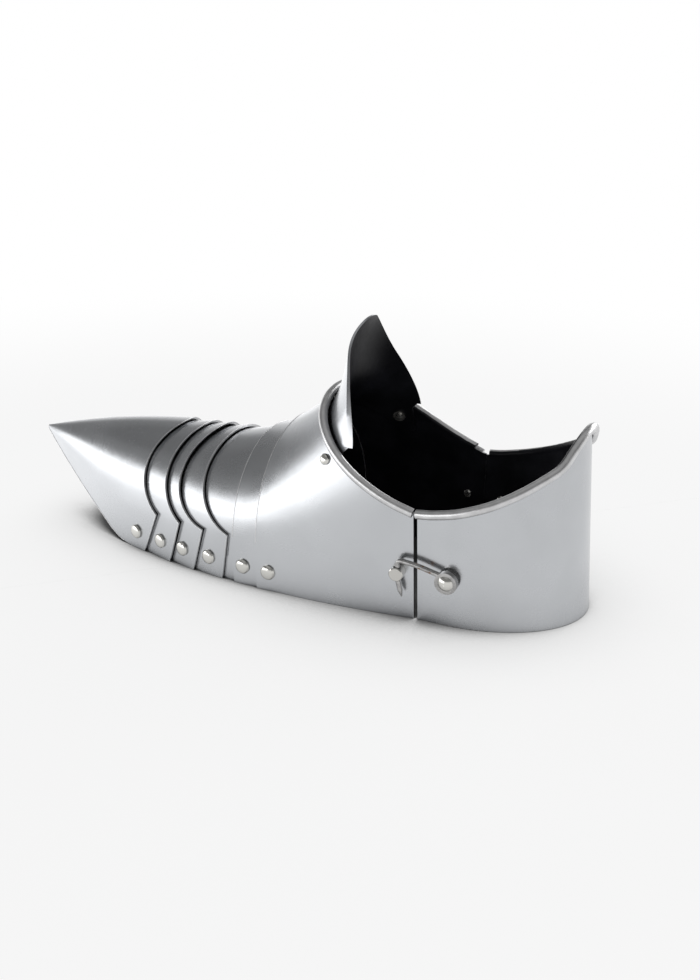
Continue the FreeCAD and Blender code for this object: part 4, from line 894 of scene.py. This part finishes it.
def make_floor(look):
    """White studio floor. Its matt share keeps the shoe's shadow from the lamps; its white glow, seen
    by the camera and in reflections, carries painted shade from ambient occlusion round and under the
    shoe, and fades to plain white further off.
    """
    reach = look.floor_reach
    mesh = bpy.data.meshes.new("pale_floor")
    mesh.from_pydata([(-reach, -reach, 0), (reach, -reach, 0), (reach, reach, 0), (-reach, reach, 0)],
                     [], [(0, 1, 2, 3)])
    surface, shader = new_shader("pale_floor")
    rays = shader.node("ShaderNodeLightPath").outputs
    glossy = Value(shader, rays["Is Glossy Ray"])
    seen = shader.maths("MAXIMUM", Value(shader, rays["Is Camera Ray"]), glossy)
    distance = shader.node("ShaderNodeVectorMath", {"operation": "LENGTH"}, {0: shader.place()})
    far = Value(shader, distance.outputs["Value"]).rise(*FLOOR_FADE)
    # Ambient occlusion darkens the white glow: painted shade round the shoe and on the floor inside it.
    open_sky = shader.node("ShaderNodeAmbientOcclusion", {"samples": 16}, {"Distance": SHADOW_REACH})
    sky = Value(shader, open_sky.outputs["AO"])
    light = sky.rise(*SHADOW_CORE) * (1 - SOFT_SHARE + sky.rise(*SHADOW_SOFT) * SOFT_SHARE)
    # Towards the toe the floor's glow is stronger in reflections only: a painted reflection on the
    # steel.
    apart = shader.node("ShaderNodeSeparateXYZ", None, {"Vector": shader.place()})
    toe_side = 1 - Value(shader, apart.outputs["X"]).rise(*TOE_SIDE)
    painted_shade_and_glow = light * (1 + toe_side * glossy * TOE_SIDE_GLOW)
    share = seen * (look.floor_white + far * (1 - look.floor_white))
    matt = shader.node("ShaderNodeBsdfDiffuse", None, {"Color": rgba(look.floor)})
    white = shader.node("ShaderNodeEmission", None, {"Color": painted_shade_and_glow, "Strength": 1.0})
    mixed = shader.node("ShaderNodeMixShader", None,
                        {0: share, 1: matt.outputs[0], 2: white.outputs[0]})
    shader.node("ShaderNodeOutputMaterial", None, {"Surface": mixed.outputs[0]})
    mesh.materials.append(surface)
    floor = add_object("pale_floor", mesh)
    floor.location.z = -FLOOR_BELOW


def make_world():
    """Pale room: white round the horizon and darker overhead. The camera sees plain white."""
    world = bpy.data.worlds.new("pale_room")
    bpy.context.scene.world = world
    shader = Shader(world)
    direction = shader.node("ShaderNodeTexCoord").outputs["Generated"]
    height = shader.node("ShaderNodeSeparateXYZ", None, {"Vector": direction}).outputs["Z"]
    room = shader.node("ShaderNodeValToRGB", {"stops": ROOM_STOPS}, {"Fac": height})
    rays = shader.node("ShaderNodeLightPath").outputs
    shade = shader.mix(Value(shader, rays["Is Camera Ray"]), room.outputs["Color"], (1, 1, 1, 1))
    sky = shader.node("ShaderNodeBackground", None, {"Color": shade, "Strength": 1.0})
    shader.node("ShaderNodeOutputWorld", None, {"Surface": sky.outputs[0]})


def add_lamp(name, spot, size, power):
    """A rectangular lamp that faces the shoe."""
    light = bpy.data.lights.new(name, "AREA")
    light.shape = "RECTANGLE"
    light.size, light.size_y = size
    light.energy = power
    lamp = bpy.data.objects.new(name, light)
    bpy.context.scene.collection.objects.link(lamp)
    aim(lamp, spot, LAMP_TARGET)


def aim(thing, spot, target):
    thing.location = spot
    thing.rotation_mode = "QUATERNION"
    thing.rotation_quaternion = (target - spot).to_track_quat("-Z", "Y")


class SABATON_OT_stage(bpy.types.Operator):
    """Set up the floor, the light and the camera"""
    bl_idname = "sabaton.stage"
    bl_label = "Stage"

    def execute(self, context):
        look = context.scene.sabaton_stage
        make_floor(look)
        make_world()
        add_lamp("window_light", WINDOW_SPOT, WINDOW_SIZE, look.window)
        add_lamp("back_light", BACK_SPOT, BACK_SIZE, look.back)
        lens = bpy.data.cameras.new("photo_camera")
        lens.lens = look.camera_lens
        lens.clip_start = 0.01
        lens.clip_end = 50
        camera = bpy.data.objects.new("photo_camera", lens)
        context.scene.collection.objects.link(camera)
        turn, rise = look.camera_turn, look.camera_rise
        level = math.cos(rise)
        away = Vector((math.sin(turn) * level, -math.cos(turn) * level, math.sin(rise)))
        aim(camera, CAMERA_TARGET + away * look.camera_distance, CAMERA_TARGET)
        context.scene.camera = camera
        context.scene.view_settings.view_transform = "Standard"
        return {"FINISHED"}


class SABATON_PT_panel(bpy.types.Panel):
    """Buttons for every group of pieces"""
    bl_label = "Sabaton"
    bl_idname = "SABATON_PT_panel"
    bl_space_type = "VIEW_3D"
    bl_region_type = "UI"
    bl_category = "Sabaton"

    def draw(self, context):
        for maker in MAKERS:
            self.layout.operator(maker.bl_idname)
        for name in GROUPS:
            box = self.layout.box()
            group = getattr(context.scene, name)
            for key in group.__annotations__:
                box.prop(group, key)


GROUPS = {
    "sabaton_steel": SteelLook,
    "sabaton_rivets": RivetSizes,
    "sabaton_tongue": TongueSizes,
    "sabaton_edges": EdgeSizes,
    "sabaton_stage": StageLook,
}
MAKERS = (
    SABATON_OT_toe_cap,
    SABATON_OT_lames,
    SABATON_OT_ankle_plate,
    SABATON_OT_heel_plate,
    SABATON_OT_tongue,
    SABATON_OT_rivets,
    SABATON_OT_washers,
    SABATON_OT_wires,
    SABATON_OT_clasp,
    SABATON_OT_hinge,
    SABATON_OT_stage,
)


def register():
    for kind in (*GROUPS.values(), *MAKERS, SABATON_PT_panel):
        bpy.utils.register_class(kind)
    for name, kind in GROUPS.items():
        setattr(bpy.types.Scene, name, PointerProperty(type=kind))


def unregister():
    for name in GROUPS:
        delattr(bpy.types.Scene, name)
    for kind in (SABATON_PT_panel, *MAKERS, *GROUPS.values()):
        bpy.utils.unregister_class(kind)


def main():
    register()
    for maker in MAKERS:
        group, name = maker.bl_idname.split(".")
        result = getattr(getattr(bpy.ops, group), name)()
        if "FINISHED" not in result:
            raise RuntimeError(maker.bl_label + " was not finished")


if __name__ == "__main__":
    main()
